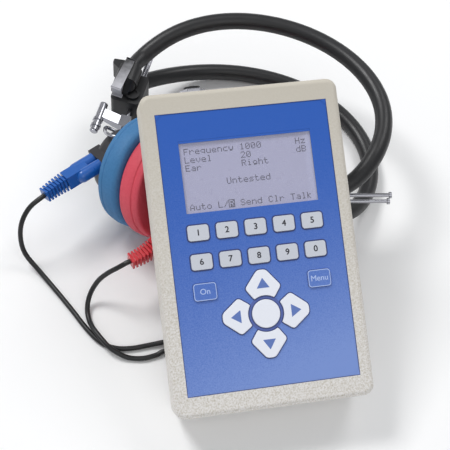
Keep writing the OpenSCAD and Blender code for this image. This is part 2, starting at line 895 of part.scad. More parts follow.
// Point in line with a socket, x along the arm from its foot
function socket_point(side, x, s) = arm_foot[side] + x * arm_dir[side]
    + socket_y * outward(side) + [0, 0, s * fork_half];

function sleeve_start(side) = arm_reach[side] + block_half + 0.05;

// Curve from a, leaving along ta, to b, arriving along tb
function bend(a, ta, b, tb, n) = [for (k = [0:n]) let (t = k / n)
    (1 - t) * (1 - t) * (1 + 2 * t) * a + t * (1 - t) * (1 - t) * ta
    + t * t * (3 - 2 * t) * b - t * t * (1 - t) * tb];

function arch_way(a, s) = arch_point(a + 1, s) - arch_point(a - 1, s);

// Path of a sleeve from the blue block round the arch to the red block, straight at both ends
function band_path(s) = let (
    p = socket_point(blue, sleeve_start(blue) + 2, s),
    q = arch_point(arch_first, s),
    v = arch_point(arch_last, s),
    w = socket_point(red, sleeve_start(red) + 2, s))
    concat([socket_point(blue, sleeve_start(blue), s)],
        bend(p, norm(q - p) * arm_dir[blue], q, norm(q - p) * unit(arch_way(arch_first, s)), 8),
        [for (k = [1:arch_steps - 1]) arch_point(arch_first + (arch_last - arch_first) * k / arch_steps, s)],
        bend(v, norm(w - v) * unit(arch_way(arch_last, s)), w, -norm(w - v) * arm_dir[red], 10),
        [socket_point(red, sleeve_start(red), s)]);

module sleeve(s) {
    color(black) bench() tube(band_path(s), sleeve_d / 2, 12, spring_d / 2 + 0.5);
}

module upper_sleeve() {
    sleeve(1);
}

module lower_sleeve() {
    sleeve(-1);
}

// The spring wires run on into the sockets of both blocks
module band_springs() {
    into = 9;
    color(chrome) bench() for (s = [-1, 1])
        tube(concat([socket_point(blue, sleeve_start(blue) - into, s)], band_path(s),
            [socket_point(red, sleeve_start(red) - into, s)]), spring_d / 2, 6);
}

// Moulded block: clamp body, fork to the two sleeves, outer rib and ear
module yoke_block(side) {
    color(black) at_block(side) difference() {
        union() {
            hull() for (sx = [-1, 1], y = [-block_in + 3, block_out - 3])
                translate([sx * (block_half - 3), y, -block_half_h])
                    cylinder(r = 3, h = 2 * block_half_h, $fn = 24);
            for (s = [-1, 1]) {
                translate([block_half - socket_l, socket_y, s * fork_half]) rod_x(socket_r, socket_l);
                hull() {
                    translate([block_half - socket_l - 6, socket_y, s * (fork_half - 6)]) rod_x(4.5, 5);
                    translate([block_half - socket_l, socket_y, s * fork_half]) rod_x(socket_r - 0.6, 6);
                }
            }
            translate([-4, rib_y, rib_z]) rod_x(rib_r, 20);
            translate([-4, rib_y - rib_r, block_half_h - 2]) cube([20, 2 * rib_r, rib_z - block_half_h + 2]);
            translate([0, 0, -2]) linear_extrude(rib_z + 2)
                polygon(soften([[8, 7], [21.5, 8], [20.5, 19.5], [17, 19.5]], 0.8));
            translate([-5, 0, block_half_h - 1]) cylinder(r = boss_r, h = 2.6, $fn = arc_fn);
        }
        for (s = [-1, 1]) {
            translate([-block_half - 1, 0, s * rod_z]) rod_x(rod_r + slide_fit, 2 * block_half + 12);
            translate([block_half - 10, socket_y, s * fork_half]) rod_x(spring_d / 2 + 0.05, 12);
            translate([block_half, socket_y, s * fork_half]) rotate([0, 90, 0])
                cylinder(r1 = sleeve_d / 2 + 0.5, r2 = sleeve_d / 2 + 3.2, h = 14, $fn = arc_fn);
        }
        translate([-5, 0, block_half_h + 1]) cylinder(r = boss_r - 1.2, h = 2, $fn = arc_fn);
    }
}

module blue_block() {
    yoke_block(blue);
}

module red_block() {
    yoke_block(red);
}

// Point of the arm in the bench frame, x from its foot and z from its middle
function arm_point(side, x, z) = arm_foot[side] + x * arm_dir[side] + [0, 0, z];

// Bent leg of a yoke: back from the swivel pin past the body, then in to the straight rod
function leg_path(side, s) = let (
    d = arm_dir[side],
    back = -facing[side],
    in = -s * swivel(side),
    top = pivot[side] - leg_z * in,
    foot = arm_point(side, straight_x[side], s * rod_z))
    concat([top - 0.4 * back], smooth([top, top + leg_back * back, top + (leg_back + 7.5) * back + 8 * in + 9 * d,
        foot - 5 * d - 4 * in, foot], 4), [foot + d]);

// Two wires that hold the earphone between them, run through the block and end in nail heads
module yoke(side) {
    color(chrome) {
        bench() for (s = [-1, 1]) tube(leg_path(side, s), rod_r - 0.05, 10);
        at_swivel(side) for (s = [0, 1]) mirror([0, 0, s])
            translate([0, 0, leg_z - pin_l]) cylinder(r = rod_r, h = pin_l + 0.4, $fn = arc_fn);
        at_arm(side) for (s = [-1, 1]) {
            translate([straight_x[side], 0, s * rod_z]) rod_x(rod_r, rod_l[side] - straight_x[side]);
            translate([rod_l[side], 0, s * rod_z]) rod_x(head_r, head_t);
        }
    }
}

module blue_yoke() {
    yoke(blue);
}

module red_yoke() {
    yoke(red);
}

// Chrome clamp that joins the two wires to the barrel beside them
module yoke_clamp(side) {
    color(chrome) at_arm(side) translate([clamp_x[side], 0, 0]) difference() {
        union() {
            translate([0, -3.2, -clamp_half_h]) cube([clamp_l, 6.4, 2 * clamp_half_h]);
            hull() {
                translate([1, 2, 0]) cube([clamp_l - 2, 1, clamp_half_h - 0.5]);
                translate([1, barrel_y - 2, barrel_z - 1.5]) cube([clamp_l - 2, 1, 3]);
            }
            translate([barrel_x, barrel_y, barrel_z]) rod_x(barrel_r, barrel_l);
            translate([barrel_x - 0.6, barrel_y, barrel_z]) rod_x(barrel_r - 0.7, 1);
            for (x = [barrel_x + 3, barrel_x + 8])
                translate([x, barrel_y, barrel_z]) rod_x(barrel_r + 0.6, 1.8);
        }
        for (s = [-1, 1])
            translate([-1, 0, s * rod_z]) rod_x(rod_r + 0.05, clamp_l + 2);
    }
}

module blue_clamp() {
    yoke_clamp(blue);
}

module red_clamp() {
    yoke_clamp(red);
}

// Place of a plug's front face in the bench frame
function plug_place(side) = let (
    p = plug_front[side],
    across = cross([0, 0, 1], facing[side]),
    y_dir = unit(across),
    z_dir = cross(facing[side], y_dir))
    pivot[side] + p.x * facing[side] + p.y * y_dir + p.z * z_dir;

module at_plug(side) {
    bench() translate(plug_place(side)) rotate([0, plug_dip[side], plug_heading[side]])
        rotate([plug_roll[side], 0, 0]) children();
}

// Turned earphone body with its pivot bosses and the housing that the plug enters
module earphone_shell(side) {
    neck_r = 20.5;
    color(dark_grey) difference() {
        union() {
            at_earphone(side) rotate([0, 90, 0]) rotate_extrude($fn = round_fn)
                polygon([[0, -can_back], [can_rear_r - 3.5, -can_back], [can_rear_r - 1, -can_back + 1.2],
                    [can_rear_r, -can_back + 4], [can_rear_r + 0.6, -5], [can_r - 0.8, -4],
                    [can_r, -2.5], [can_r, cushion_back - 0.1],
                    [neck_r, cushion_back - 0.1], [neck_r, cushion_back + 5.5], [0, cushion_back + 5.5]]);
            at_swivel(side) for (s = [0, 1]) mirror([0, 0, s])
                translate([0, 0, can_r - 3]) cylinder(r = 3, h = 4, $fn = arc_fn);
            at_plug(side) translate([-socket_block.x, -socket_block.y / 2, -socket_block.z / 2])
                cube(socket_block);
        }
        at_swivel(side) for (s = [0, 1]) mirror([0, 0, s])
            translate([0, 0, leg_z - pin_l - 0.2]) cylinder(r = rod_r + slide_fit, h = pin_l, $fn = arc_fn);
        at_plug(side) for (s = [-1, 1])
            translate([-plug_pin_l - 0.2, s * lobe_y, 0]) rod_x(plug_pin_r + 0.05, plug_pin_l + 1, 16);
        at_plug(side) translate([0, -plug_clear_y, -plug_clear_z])
            cube([lobe_l + 5, 2 * plug_clear_y, 2 * plug_clear_z]);
    }
}

module blue_shell() {
    earphone_shell(blue);
}

module red_shell() {
    earphone_shell(red);
}

// Sound capsule behind the hole of the cushion, with its ring of sound holes
module capsule(side) {
    front = cushion_back + 9.6;
    color(dark_grey) at_earphone(side) difference() {
        translate([cushion_back + 5.6, 0, 0]) rod_x(14, front - cushion_back - 5.6, round_fn);
        for (k = [0:6])
            rotate([60 * k, 0, 0]) translate([front - 2, 0, k == 6 ? 0 : 5]) rod_x(1.1, 3, 16);
    }
}

module blue_capsule() {
    capsule(blue);
}

module red_capsule() {
    capsule(red);
}

// Moulded rubber cushion: rear band, groove, crown, drawn-in front edge and a dished face
module cushion(side) {
    r = cushion_r;
    x0 = cushion_back;
    x1 = front_reach;
    color(side == blue ? cushion_blue : cushion_red) at_earphone(side)
        rotate([0, 90, 0]) rotate_extrude($fn = 56) polygon([
            [21, x0], [r - 2.2, x0], [r - 1.2, x0 + 0.8], [r - 1, x0 + 3.6],
            [r - 2, x0 + 4], [r - 2, x0 + 4.6], [r - 0.2, x0 + 5], [r, x0 + 8],
            [r - 0.3, x1 - 3], [r - 1.5, x1 - 1], [r - 4, x1], [r - 9, x1 - 0.3],
            [15, x1 - 2], [11.5, x1 - 3.4], [11, x1 - 4.6], [14.4, x1 - 4.6],
            [14.4, x0 + 5.8], [21, x0 + 5.8]]);
}

module blue_cushion() {
    cushion(blue);
}

module red_cushion() {
    cushion(red);
}

// Moulded two-pin plug: two round lobes, a saddle, a square block and a ribbed boot
module two_pin_plug(side) {
    turn = boot_bend[side];
    step = boot_l / boot_ribs;
    start = lobe_l + plug_block_l - 1;
    color(side == blue ? cushion_blue : cushion_red) at_plug(side) difference() {
        union() {
            for (s = [-1, 1]) {
                translate([0, s * lobe_y, 0]) rod_x(lobe_r, lobe_l);
                translate([lobe_l, s * lobe_y, 0]) sphere(r = lobe_r, $fn = arc_fn);
            }
            hull() {
                translate([7, -lobe_y, -lobe_r + 0.6]) cube([lobe_l - 7, 2 * lobe_y, 2 * lobe_r - 1.2]);
                translate([lobe_l + 2, -plug_block_w / 2, -plug_block_w / 2 + 0.6])
                    cube([2, plug_block_w, plug_block_w - 1.2]);
            }
            translate([lobe_l, -plug_block_w / 2, -plug_block_w / 2])
                cube([plug_block_l - 1, plug_block_w, plug_block_w]);
            for (k = [0:boot_ribs]) {
                a = turn * k / boot_ribs;
                mean = turn * k / boot_ribs / 2;
                place = [start + step * k * cos(mean), step * k * sin(mean), 0];
                size = plug_block_w - 1.6 * k / boot_ribs;
                translate(place) rotate([0, 0, a]) {
                    if (k > 0) translate([-boot_rib_t, -size / 2, -size / 2])
                        cube([boot_rib_t, size, size]);
                    if (k < boot_ribs) translate([-0.3, -boot_core / 2, -boot_core / 2])
                        cube([step, boot_core, boot_core]);
                }
            }
        }
        for (s = [-1, 1])
            translate([-1, s * lobe_y, 0]) rod_x(plug_pin_r + 0.05, 6, 16);
    }
}

module blue_plug() {
    two_pin_plug(blue);
}

module red_plug() {
    two_pin_plug(red);
}

module plug_pins(side) {
    color(chrome) at_plug(side) for (s = [-1, 1])
        translate([-plug_pin_l, s * lobe_y, 0]) rod_x(plug_pin_r, plug_pin_l + 4.9, 16);
}

module blue_plug_pins() {
    plug_pins(blue);
}

module red_plug_pins() {
    plug_pins(red);
}

// ---------------------------------------------------------------- leads

// Middle of the boot's end face and the way out of it
function plug_way(side, bend) = let (
    a = plug_heading[side],
    d = plug_dip[side],
    r = plug_roll[side],
    ahead = [cos(a) * cos(d), sin(a) * cos(d), -sin(d)],
    flat = [-sin(a), cos(a), 0],
    up = cross(ahead, flat))
    cos(bend) * ahead + sin(bend) * (cos(r) * flat + sin(r) * up);

// The plug's own upward direction
function plug_top(side) = cross(plug_way(side, 0), plug_way(side, 90));

function boot_end(side) = plug_place(side) + (lobe_l + plug_block_l - 1) * plug_way(side, 0)
    + boot_l * plug_way(side, boot_bend[side] / 2);

function boot_way(side) = plug_way(side, boot_bend[side]);

// A smooth path that starts and ends with a straight piece
function cord_path(first, first_way, mid, last, last_way, n) = concat([first],
    smooth(concat([first + first_way], mid, [last - last_way]), n), [last]);

function lead_path(side, route, n) = cord_path(boot_end(side) + 0.02 * boot_way(side),
    lead_d * boot_way(side), route, [joint_x - 0.02, joint_y + (side == blue ? 3 : -3), 2.5], [lead_d, 0, 0], n);

module blue_lead() {
    color(black) bench() tube(lead_path(blue, blue_route, 2), lead_d / 2, 8);
}

module red_lead() {
    color(black) bench() tube(lead_path(red, red_route, 2), lead_d / 2, 8);
}

// Moulded piece where the two leads become one
module lead_joint() {
    color(black) bench() translate([joint_x, joint_y, 2.5]) hull() {
        translate([0, -5.2, -2.4]) cube([9, 10.4, 4.8]);
        translate([joint_l - 1, -2.6, -2.4]) cube([1, 5.2, 4.8]);
    }
}

// Route of the coil: in at the low layer, up in the half turn at the middle, out on top
function coil_spot(s) = let (
    a = 180 - 360 * coil_turns * s,
    in = coil_step * coil_turns * min(s, 1 - s),
    climb = min(max((s - 0.5) * 2 * coil_turns + 0.5, 0), 1))
    [coil_x + (coil_r - in) * cos(a), coil_y + (coil_r - in) * sin(a), coil_low + coil_step * climb];

coil_points = ceil(coil_turns * coil_rings);
coil_path = concat(
    [coil_spot(0) - [0, trunk_d, 0]],
    [for (k = [0:coil_points]) coil_spot(k / coil_points)],
    [coil_spot(1) - [0, trunk_d, 0]]);

// Least clear gap of the coil to itself, measured between its route's points
far_apart = coil_rings / 2;
coil_self_gap = min([for (i = [0:2:len(coil_path) - 1]) for (j = [i + far_apart:len(coil_path) - 1])
    norm(coil_path[i] - coil_path[j])]) - trunk_d;
echo(least_gap_of_the_coil_to_itself = coil_self_gap);

module trunk_start() {
    color(black) bench() tube(cord_path([joint_x + joint_l + 0.02, joint_y, 2.5], [trunk_d, 0, 0],
        [[coil_x - coil_r - 1.6, joint_y + 3.2, 2.2], [coil_x - coil_r, joint_y + 8.5, 2]],
        coil_path[0] - [0, 0.02, 0], [0, trunk_d, 0], 2), trunk_d / 2, 8);
}

module trunk_coil() {
    color(black) bench() tube(coil_path, trunk_d / 2, 6);
}

module trunk_tail() {
    finish = [jack_plug_x + 0.02, jack_plug_y, jack_plug_z];
    color(black) bench() tube(cord_path(coil_path[len(coil_path) - 1] - [0, 0.02, 0], [0, -trunk_d, 0],
        [[coil_x + coil_r - 1, 40, 5.5], [coil_x + coil_r - 5, 29, 5], finish + [9, 1.2, 0]],
        finish, [-trunk_d, 0, 0], 2), trunk_d / 2, 8);
}

// Jack plug at the lead's far end: tapered boot, handle and stepped tip, along -x
module jack_plug() {
    color(chrome) bench() translate([jack_plug_x, jack_plug_y, jack_plug_z])
        rotate([0, -90, 0]) rotate_extrude($fn = 32) polygon([
            [0, 0], [2.4, 0], [3.6, boot_long], [handle_r - 0.5, boot_long],
            [handle_r, boot_long + 1], [handle_r, boot_long + handle_l - 1],
            [handle_r - 0.8, boot_long + handle_l], [tip_r, boot_long + handle_l],
            [tip_r, boot_long + handle_l + tip_l - 6.5], [2.2, boot_long + handle_l + tip_l - 5],
            [tip_r - 0.1, boot_long + handle_l + tip_l - 3.4], [0.8, boot_long + handle_l + tip_l],
            [0, boot_long + handle_l + tip_l]]);
}

// ---------------------------------------------------------------- the part

front_case();
rear_case();
control_panel();
display_window();
display_glass();
display_frame();
display_board();
key_board();
snap_domes();
main_board();
headset_jack();
jack_nut();
battery_door();
battery_cells();
battery_contacts();
handset_screws();
key_1();
key_2();
key_3();
key_4();
key_5();
key_6();
key_7();
key_8();
key_9();
key_0();
key_up();
key_left();
key_down();
key_right();
key_centre();
key_soft_left();
key_soft_right();
upper_sleeve();
lower_sleeve();
band_springs();
blue_block();
red_block();
blue_yoke();
red_yoke();
blue_clamp();
red_clamp();
blue_shell();
red_shell();
blue_capsule();
red_capsule();
blue_cushion();
red_cushion();
blue_plug();
red_plug();
blue_plug_pins();
red_plug_pins();
blue_lead();
red_lead();
lead_joint();
trunk_start();
trunk_coil();
trunk_tail();
jack_plug();
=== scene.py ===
# %% [markdown]
# # A hand-held audiometer on its headset
#
# A hearing tester leans on its own headset: two black sleeves in an arch, one blue and one red
# earphone pressed together, and a coil of spare lead under the unit. The CAD model gives every
# place and size. This script dresses it: it cuts the corners soft, turns the round pieces
# finely, prints the panel and writes the display.
#
# Everything is in metres, in the frame of the CAD model.

# %%
import json
import math

import bmesh
import bpy
from mathutils import Matrix, Vector


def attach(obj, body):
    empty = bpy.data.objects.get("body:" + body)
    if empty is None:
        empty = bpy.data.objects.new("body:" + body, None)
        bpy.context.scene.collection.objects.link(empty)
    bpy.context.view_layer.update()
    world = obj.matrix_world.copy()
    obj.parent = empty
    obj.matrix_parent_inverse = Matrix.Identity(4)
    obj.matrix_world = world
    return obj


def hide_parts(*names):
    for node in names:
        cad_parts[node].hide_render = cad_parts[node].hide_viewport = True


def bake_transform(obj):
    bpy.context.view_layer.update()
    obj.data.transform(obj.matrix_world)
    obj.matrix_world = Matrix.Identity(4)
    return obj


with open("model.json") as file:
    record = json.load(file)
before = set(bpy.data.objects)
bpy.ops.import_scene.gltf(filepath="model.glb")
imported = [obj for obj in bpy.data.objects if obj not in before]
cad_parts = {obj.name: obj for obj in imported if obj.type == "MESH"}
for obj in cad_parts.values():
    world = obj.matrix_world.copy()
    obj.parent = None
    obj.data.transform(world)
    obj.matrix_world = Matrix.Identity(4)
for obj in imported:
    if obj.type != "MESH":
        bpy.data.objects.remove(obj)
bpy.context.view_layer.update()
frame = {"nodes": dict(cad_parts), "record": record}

# %% [markdown]
# ## Frames
#
# The model was laid out on a bench frame whose origin is under the unit's lower rear edge. The
# row's origin is under the middle of the whole, so `bench` moves a point given in millimetres on
# the bench to the row in metres. `on_face` does the same from the unit's own face, whose middle
# is the origin, with v up the face and w out of it.

# %%
ORIGIN = Vector((-4.21788, 115.661, 0))
LEAN = math.radians(30.5)
FACE = Vector((0, 56.968, 75.790))
FACE_U = Vector((1, 0, 0))
FACE_V = Vector((0, math.cos(LEAN), math.sin(LEAN)))
FACE_W = Vector((0, -math.sin(LEAN), math.cos(LEAN)))


def bench(x, y, z):
    return (Vector((x, y, z)) - ORIGIN) / 1000


def on_face(u, v, w):
    return bench(*(FACE + u * FACE_U + v * FACE_V + w * FACE_W))


print("face middle", on_face(0, 0, 0))

# %% [markdown]
# ## Camera
#
# A still-life photograph is taken with a long lens, here one that looks down steeply. The camera's
# place comes from the four corners of the panel: their picture positions fix where a lens of this
# length stood. It stands in front on the left, and is turned a little about its own axis.

# %%
FOCAL_SHARE = 1136 / 450  # the lens's length as a share of the picture's width
CAMERA_SPOT = bench(-108, -269.1, 592.8)
camera = bpy.data.objects.new("camera", bpy.data.cameras.new("camera"))
bpy.context.scene.collection.objects.link(camera)
camera.data.sensor_width = 36
camera.data.lens = camera.data.sensor_width * FOCAL_SHARE
right = Vector((0.9828, -0.1747, 0.0605)).normalized()
forward = Vector((0.1477, 0.5456, -0.8249)).normalized()
up = right.cross(forward).normalized()
right = forward.cross(up)
turn = Matrix((right, up, -forward)).transposed().to_4x4()
camera.matrix_world = Matrix.Translation(CAMERA_SPOT) @ turn
camera.data.clip_start = 0.05
camera.data.clip_end = 20
bpy.context.scene.camera = camera
print("camera at", camera.matrix_world.translation)

# %% [markdown]
# ## Shader arithmetic
#
# Procedural finishes are sums and products of noise. Wiring each sum by hand is long, so `Value`
# wraps a socket and gives it ordinary arithmetic: every operator adds one math node. `Finish`
# holds a material and adds any other node by name.

# %%
def srgb(r, g, b):
    """A colour given as 0 to 255 on a screen, as the linear values that a shader takes."""
    return tuple((c / 255 / 12.92) if c < 10.3 else ((c / 255 + 0.055) / 1.055) ** 2.4
                 for c in (r, g, b)) + (1,)


class Value:
    """One shader value. Arithmetic on it adds math nodes."""

    def __init__(self, finish, socket):
        self.finish, self.socket = finish, socket

    def math(self, operation, first, second):
        return self.finish.node("Math", {0: first, 1: second}, operation=operation)

    def __add__(self, other):
        return self.math("ADD", self, other)

    def __sub__(self, other):
        return self.math("SUBTRACT", self, other)

    def __mul__(self, other):
        return self.math("MULTIPLY", self, other)

    def __rsub__(self, other):
        return self.math("SUBTRACT", other, self)


class Finish:
    """A material whose constants are set on its Principled shader."""

    def __init__(self, name, color, roughness=0.5, metallic=0.0, coat=0.0, alpha=1.0):
        self.material = bpy.data.materials.new(name)
        self.material.use_nodes = True
        self.tree = self.material.node_tree
        self.shader = self.tree.nodes["Principled BSDF"]
        for key, value in (("Base Color", color), ("Roughness", roughness),
                           ("Metallic", metallic), ("Coat Weight", coat), ("Alpha", alpha)):
            self.shader.inputs[key].default_value = value
        self.material.diffuse_color = color

    def node(self, kind, inputs=None, output=0, **settings):
        """Adds a shader node and gives one of its outputs."""
        made = self.tree.nodes.new("ShaderNode" + kind)
        for key, value in settings.items():
            setattr(made, key, value)
        for key, value in (inputs or {}).items():
            if isinstance(value, Value):
                self.tree.links.new(value.socket, made.inputs[key])
            else:
                made.inputs[key].default_value = value
        return Value(self, made.outputs[output])

    def drive(self, key, value):
        self.tree.links.new(value.socket, self.shader.inputs[key])

    def where(self):
        """The place that is shaded, in metres."""
        return self.node("TexCoord", output="Object")

    def axis(self, index):
        """One coordinate of that place."""
        return self.node("SeparateXYZ", {0: self.where()}, output=index)

    def noise(self, scale, detail=2.0):
        return self.node("TexNoise", {"Vector": self.where(), "Scale": scale, "Detail": detail})

    def ramp(self, factor, low, high):
        """A colour between low and high, by a factor from 0 to 1."""
        made = self.tree.nodes.new("ShaderNodeMix")
        made.data_type = "RGBA"
        made.inputs["A"].default_value = low
        made.inputs["B"].default_value = high
        self.tree.links.new(factor.socket, made.inputs["Factor"])
        return Value(self, [s for s in made.outputs if s.type == "RGBA"][0])

    def bump(self, height, distance):
        self.drive("Normal", self.node("Bump", {"Height": height, "Distance": distance,
                                                "Strength": 1.0}))


# %% [markdown]
# ## Finishes
#
# - The case is moulded in a beige plastic with a fine spark-eroded grain, so it gets a tiny bump
#   and a speckle of light where the grain catches it, more of it towards the foot.
# - The panel is a printed film. It looks deep blue at its top and paler at its foot, where it
#   mirrors more of the light, so its colour runs along the face.
# - The sleeves, the leads and the earphone bodies are blacks of different gloss.
# - The cushions are blue and red rubber, dull, with a faint mottled bloom.
# - Rods, clamps and nuts are chrome. Its look comes from what it mirrors, so it has a plain grey
#   metal colour and a little roughness.
# - No smooth surface is evenly smooth, so the gloss of every one wanders a little.

# %%
GLOSS_SCALE, GLOSS_WANDER = 160, 0.18


def plain(name, color, roughness, **more):
    """A smooth finish whose gloss wanders a little, as handling leaves it."""
    made = Finish(name, srgb(*color), roughness, **more)
    made.drive("Roughness", (made.noise(GLOSS_SCALE) - 0.5) * GLOSS_WANDER + roughness)
    return made


def grained(name, color, roughness, scale, distance, spread=0.0, light=None, **more):
    """A moulding with a grain of about 1/scale metres, mottled with a light colour by spread."""
    made = plain(name, color, roughness, **more)
    made.bump(made.noise(scale), distance)
    if spread:
        speck = (made.noise(scale * 0.6, 3.0) - 0.5) * spread + 0.5
        made.drive("Base Color", made.ramp(speck, srgb(*color), srgb(*light)))
    return made


HALF_FACE = 77
BESIDE_SCALE, BESIDE_START = 10.5, 0.45


def along_face(finish):
    """0 at the foot of the unit's face and 1 at its top."""
    low, high = on_face(0, -HALF_FACE, 0), on_face(0, HALF_FACE, 0)
    run = (finish.axis(1) - low.y) * FACE_V.y + (finish.axis(2) - low.z) * FACE_V.z
    return run * (1 / (high - low).length)


def beside(finish):
    """0 at the left edge of the panel and 1 at its right one."""
    return finish.axis(0) * BESIDE_SCALE + BESIDE_START


finishes = {
    "case": grained("case", (203, 197, 183), 0.55, 1500, 0.00009),
    "panel": plain("panel", (60, 104, 190), 0.5),
    "window": plain("window", (235, 238, 248), 0.08, alpha=0.06),
    "display": plain("display", (166, 164, 196), 0.3),
    "key_cap": grained("key_cap", (212, 215, 224), 0.45, 2200, 0.00004, coat=0.1),
    "soft_key": plain("soft_key", (60, 104, 190), 0.5),
    "board": plain("board", (28, 92, 52), 0.4),
    "steel": plain("steel", (196, 196, 200), 0.32, metallic=1.0),
    "bright": plain("bright", (172, 172, 178), 0.22, metallic=1.0),
    "jack_body": plain("jack_body", (26, 26, 28), 0.5),
    "cell": plain("cell", (150, 112, 58), 0.3, metallic=0.6),
    "band_black": grained("band_black", (27, 27, 29), 0.4, 900, 0.00005),
    "shell_grey": grained("shell_grey", (46, 44, 48), 0.4, 1800, 0.00003),
    "rubber_blue": grained("rubber_blue", (48, 108, 158), 0.62, 1200, 0.00005,
                           spread=1.2, light=(64, 124, 174)),
    "rubber_red": grained("rubber_red", (208, 66, 84), 0.62, 1200, 0.00005,
                          spread=1.2, light=(220, 84, 100)),
    "plug_blue": plain("plug_blue", (22, 90, 172), 0.32, coat=0.25),
    "plug_red": plain("plug_red", (208, 44, 56), 0.32, coat=0.25),
    "lead_black": plain("lead_black", (24, 24, 26), 0.38),
}

# %% [markdown]
# Four finishes change over the unit's face. The film fades from deep to pale blue with the square
# of the way down, and a little with the way to the right: a painted reflection, paler where the
# film mirrors more of the light. Its fine speckle of painted glints shows more at the foot, as the
# painted glints on the case's grain do. The arrow keys, below 0.44 of the face, are whiter than the
# digits.
# The display is lighter at its right edge, where the window mirrors the light.

# %%
ARROWS_BELOW, ARROW_STEP = 0.44, 60
GLARE_FROM, GLARE_RISE = 0.83, 9

film = finishes["panel"]
# Painted reflection: film and soft keys paler towards the foot and right, with painted glints.
for printed in (film, finishes["soft_key"]):
    foot = 1 - along_face(printed)
    painted_glints = (printed.noise(1500, 3.0) - 0.5) * foot * 1.1
    pale = foot * foot * (beside(printed) * 0.5 + 0.8) + painted_glints
    printed.drive("Base Color", printed.ramp(pale, srgb(22, 88, 184), srgb(120, 148, 214)))
    printed.bump(printed.noise(1200), 0.00003)

caps = finishes["key_cap"]
below = (ARROWS_BELOW - along_face(caps)) * ARROW_STEP
caps.drive("Base Color", caps.ramp(below, srgb(203, 207, 216), srgb(238, 241, 250)))

screen = finishes["display"]
glare = (beside(screen) - GLARE_FROM) * GLARE_RISE
screen.drive("Base Color", screen.ramp(glare, srgb(166, 165, 194), srgb(192, 196, 226)))

# Painted glints: the case's grain is speckled pale, more and lighter towards the foot.
case = finishes["case"]
low = 1.1 - along_face(case)
speck = (case.noise(1100, 3.0) - 0.5) * low * 2.6 + low * 0.55 + 0.1
case.drive("Base Color", case.ramp(speck, srgb(194, 187, 172), srgb(232, 229, 226)))

ink = plain("ink", (34, 34, 44), 0.5)
navy = plain("navy", (40, 58, 120), 0.45)
pale_print = plain("pale_print", (176, 196, 240), 0.45)
blue_print = plain("blue_print", (92, 120, 188), 0.45)
ring_print = plain("ring_print", (78, 98, 168), 0.45)
dot_print = plain("display_dots", (52, 46, 72), 0.5)
print(len(finishes), "finishes")

# %% [markdown]
# ## Tools for the pieces
#
# Three ways to make nearly everything here:
#
# - `refined` copies a CAD piece, merges its loose triangles, takes out the flat seams and bevels
#   its sharp edges. Real mouldings have no knife edges, and a bevel is what catches the light.
# - `lathe` turns a profile about an axis, for cushions and plugs.
# - `tube` sweeps a circle along a path, for sleeves and leads.

# %%
SLOT_OF = {entry["node"]: entry["material_slot"] for entry in frame["record"]["subparts"]}
BODY_OF = {node: body for body, nodes in frame["record"]["behaviour"]["bodies"].items()
           for node in nodes}
SMOOTH_BELOW = math.radians(38)
SAME_SPOT, FLAT_WITHIN = 2e-6, math.radians(0.6)


def placed(bm, name, finish, body=None):
    """Turns a bmesh into an object that rides on a CAD body."""
    mesh = bpy.data.meshes.new(name)
    bm.to_mesh(mesh)
    bm.free()
    mesh.materials.append(finish.material)
    made = bpy.data.objects.new(name, mesh)
    bpy.context.scene.collection.objects.link(made)
    if body:
        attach(made, body)
    return made


def finish_mesh(bm, name, finish, body=None):
    """The same, shaded smooth over its gentle edges."""
    bmesh.ops.recalc_face_normals(bm, faces=bm.faces)
    made = placed(bm, name, finish, body)
    made.data.polygons.foreach_set("use_smooth", [True] * len(made.data.polygons))
    made.data.set_sharp_from_angle(angle=SMOOTH_BELOW)
    return made


def refined(node, width, segments=2, sharp=50):
    """A copy of a CAD node with its sharp edges bevelled; it replaces the node."""
    bm = bmesh.new()
    bm.from_mesh(frame["nodes"][node].data)
    bmesh.ops.remove_doubles(bm, verts=bm.verts, dist=SAME_SPOT)
    bmesh.ops.dissolve_limit(bm, angle_limit=FLAT_WITHIN, verts=bm.verts, edges=bm.edges)
    if width:
        edges = [e for e in bm.edges if e.is_manifold and e.calc_face_angle() > math.radians(sharp)]
        bmesh.ops.bevel(bm, geom=edges, offset=width, offset_type="OFFSET", affect="EDGES",
                        segments=segments, profile=0.5, clamp_overlap=True, material=-1)
    slot = SLOT_OF[node]
    made = finish_mesh(bm, node + "_piece", finishes[slot], BODY_OF[node])
    made.modifiers.new("flat_faces", "WEIGHTED_NORMAL").keep_sharp = True
    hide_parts(node)
    return made


def ring_frames(points):
    """The direction at each point of a path, and a side that doesn't twist along it."""
    ways = []
    for i in range(len(points)):
        a, b = points[max(i - 1, 0)], points[min(i + 1, len(points) - 1)]
        ways.append((b - a).normalized())
    side = ways[0].orthogonal().normalized()
    frames = []
    for way in ways:
        side = (side - way * side.dot(way)).normalized()
        frames.append((way, side, way.cross(side)))
    return frames


def tube(name, points, radius, finish, body=None, sides=16):
    """A circle swept along points, closed at both ends. Its radius may be a list."""
    bm = bmesh.new()
    frames = ring_frames(points)
    radii = radius if isinstance(radius, list) else [radius] * len(points)
    rings = []
    for point, reach, (_, side, other) in zip(points, radii, frames):
        rings.append([bm.verts.new(point + reach * (math.cos(a) * side + math.sin(a) * other))
                      for a in (2 * math.pi * k / sides for k in range(sides))])
    for low, high in zip(rings, rings[1:]):
        for k in range(sides):
            n = (k + 1) % sides
            bm.faces.new((low[k], low[n], high[n], high[k]))
    for ring in (rings[0], rings[-1]):
        bm.faces.new(ring)
    return finish_mesh(bm, name, finish, body)


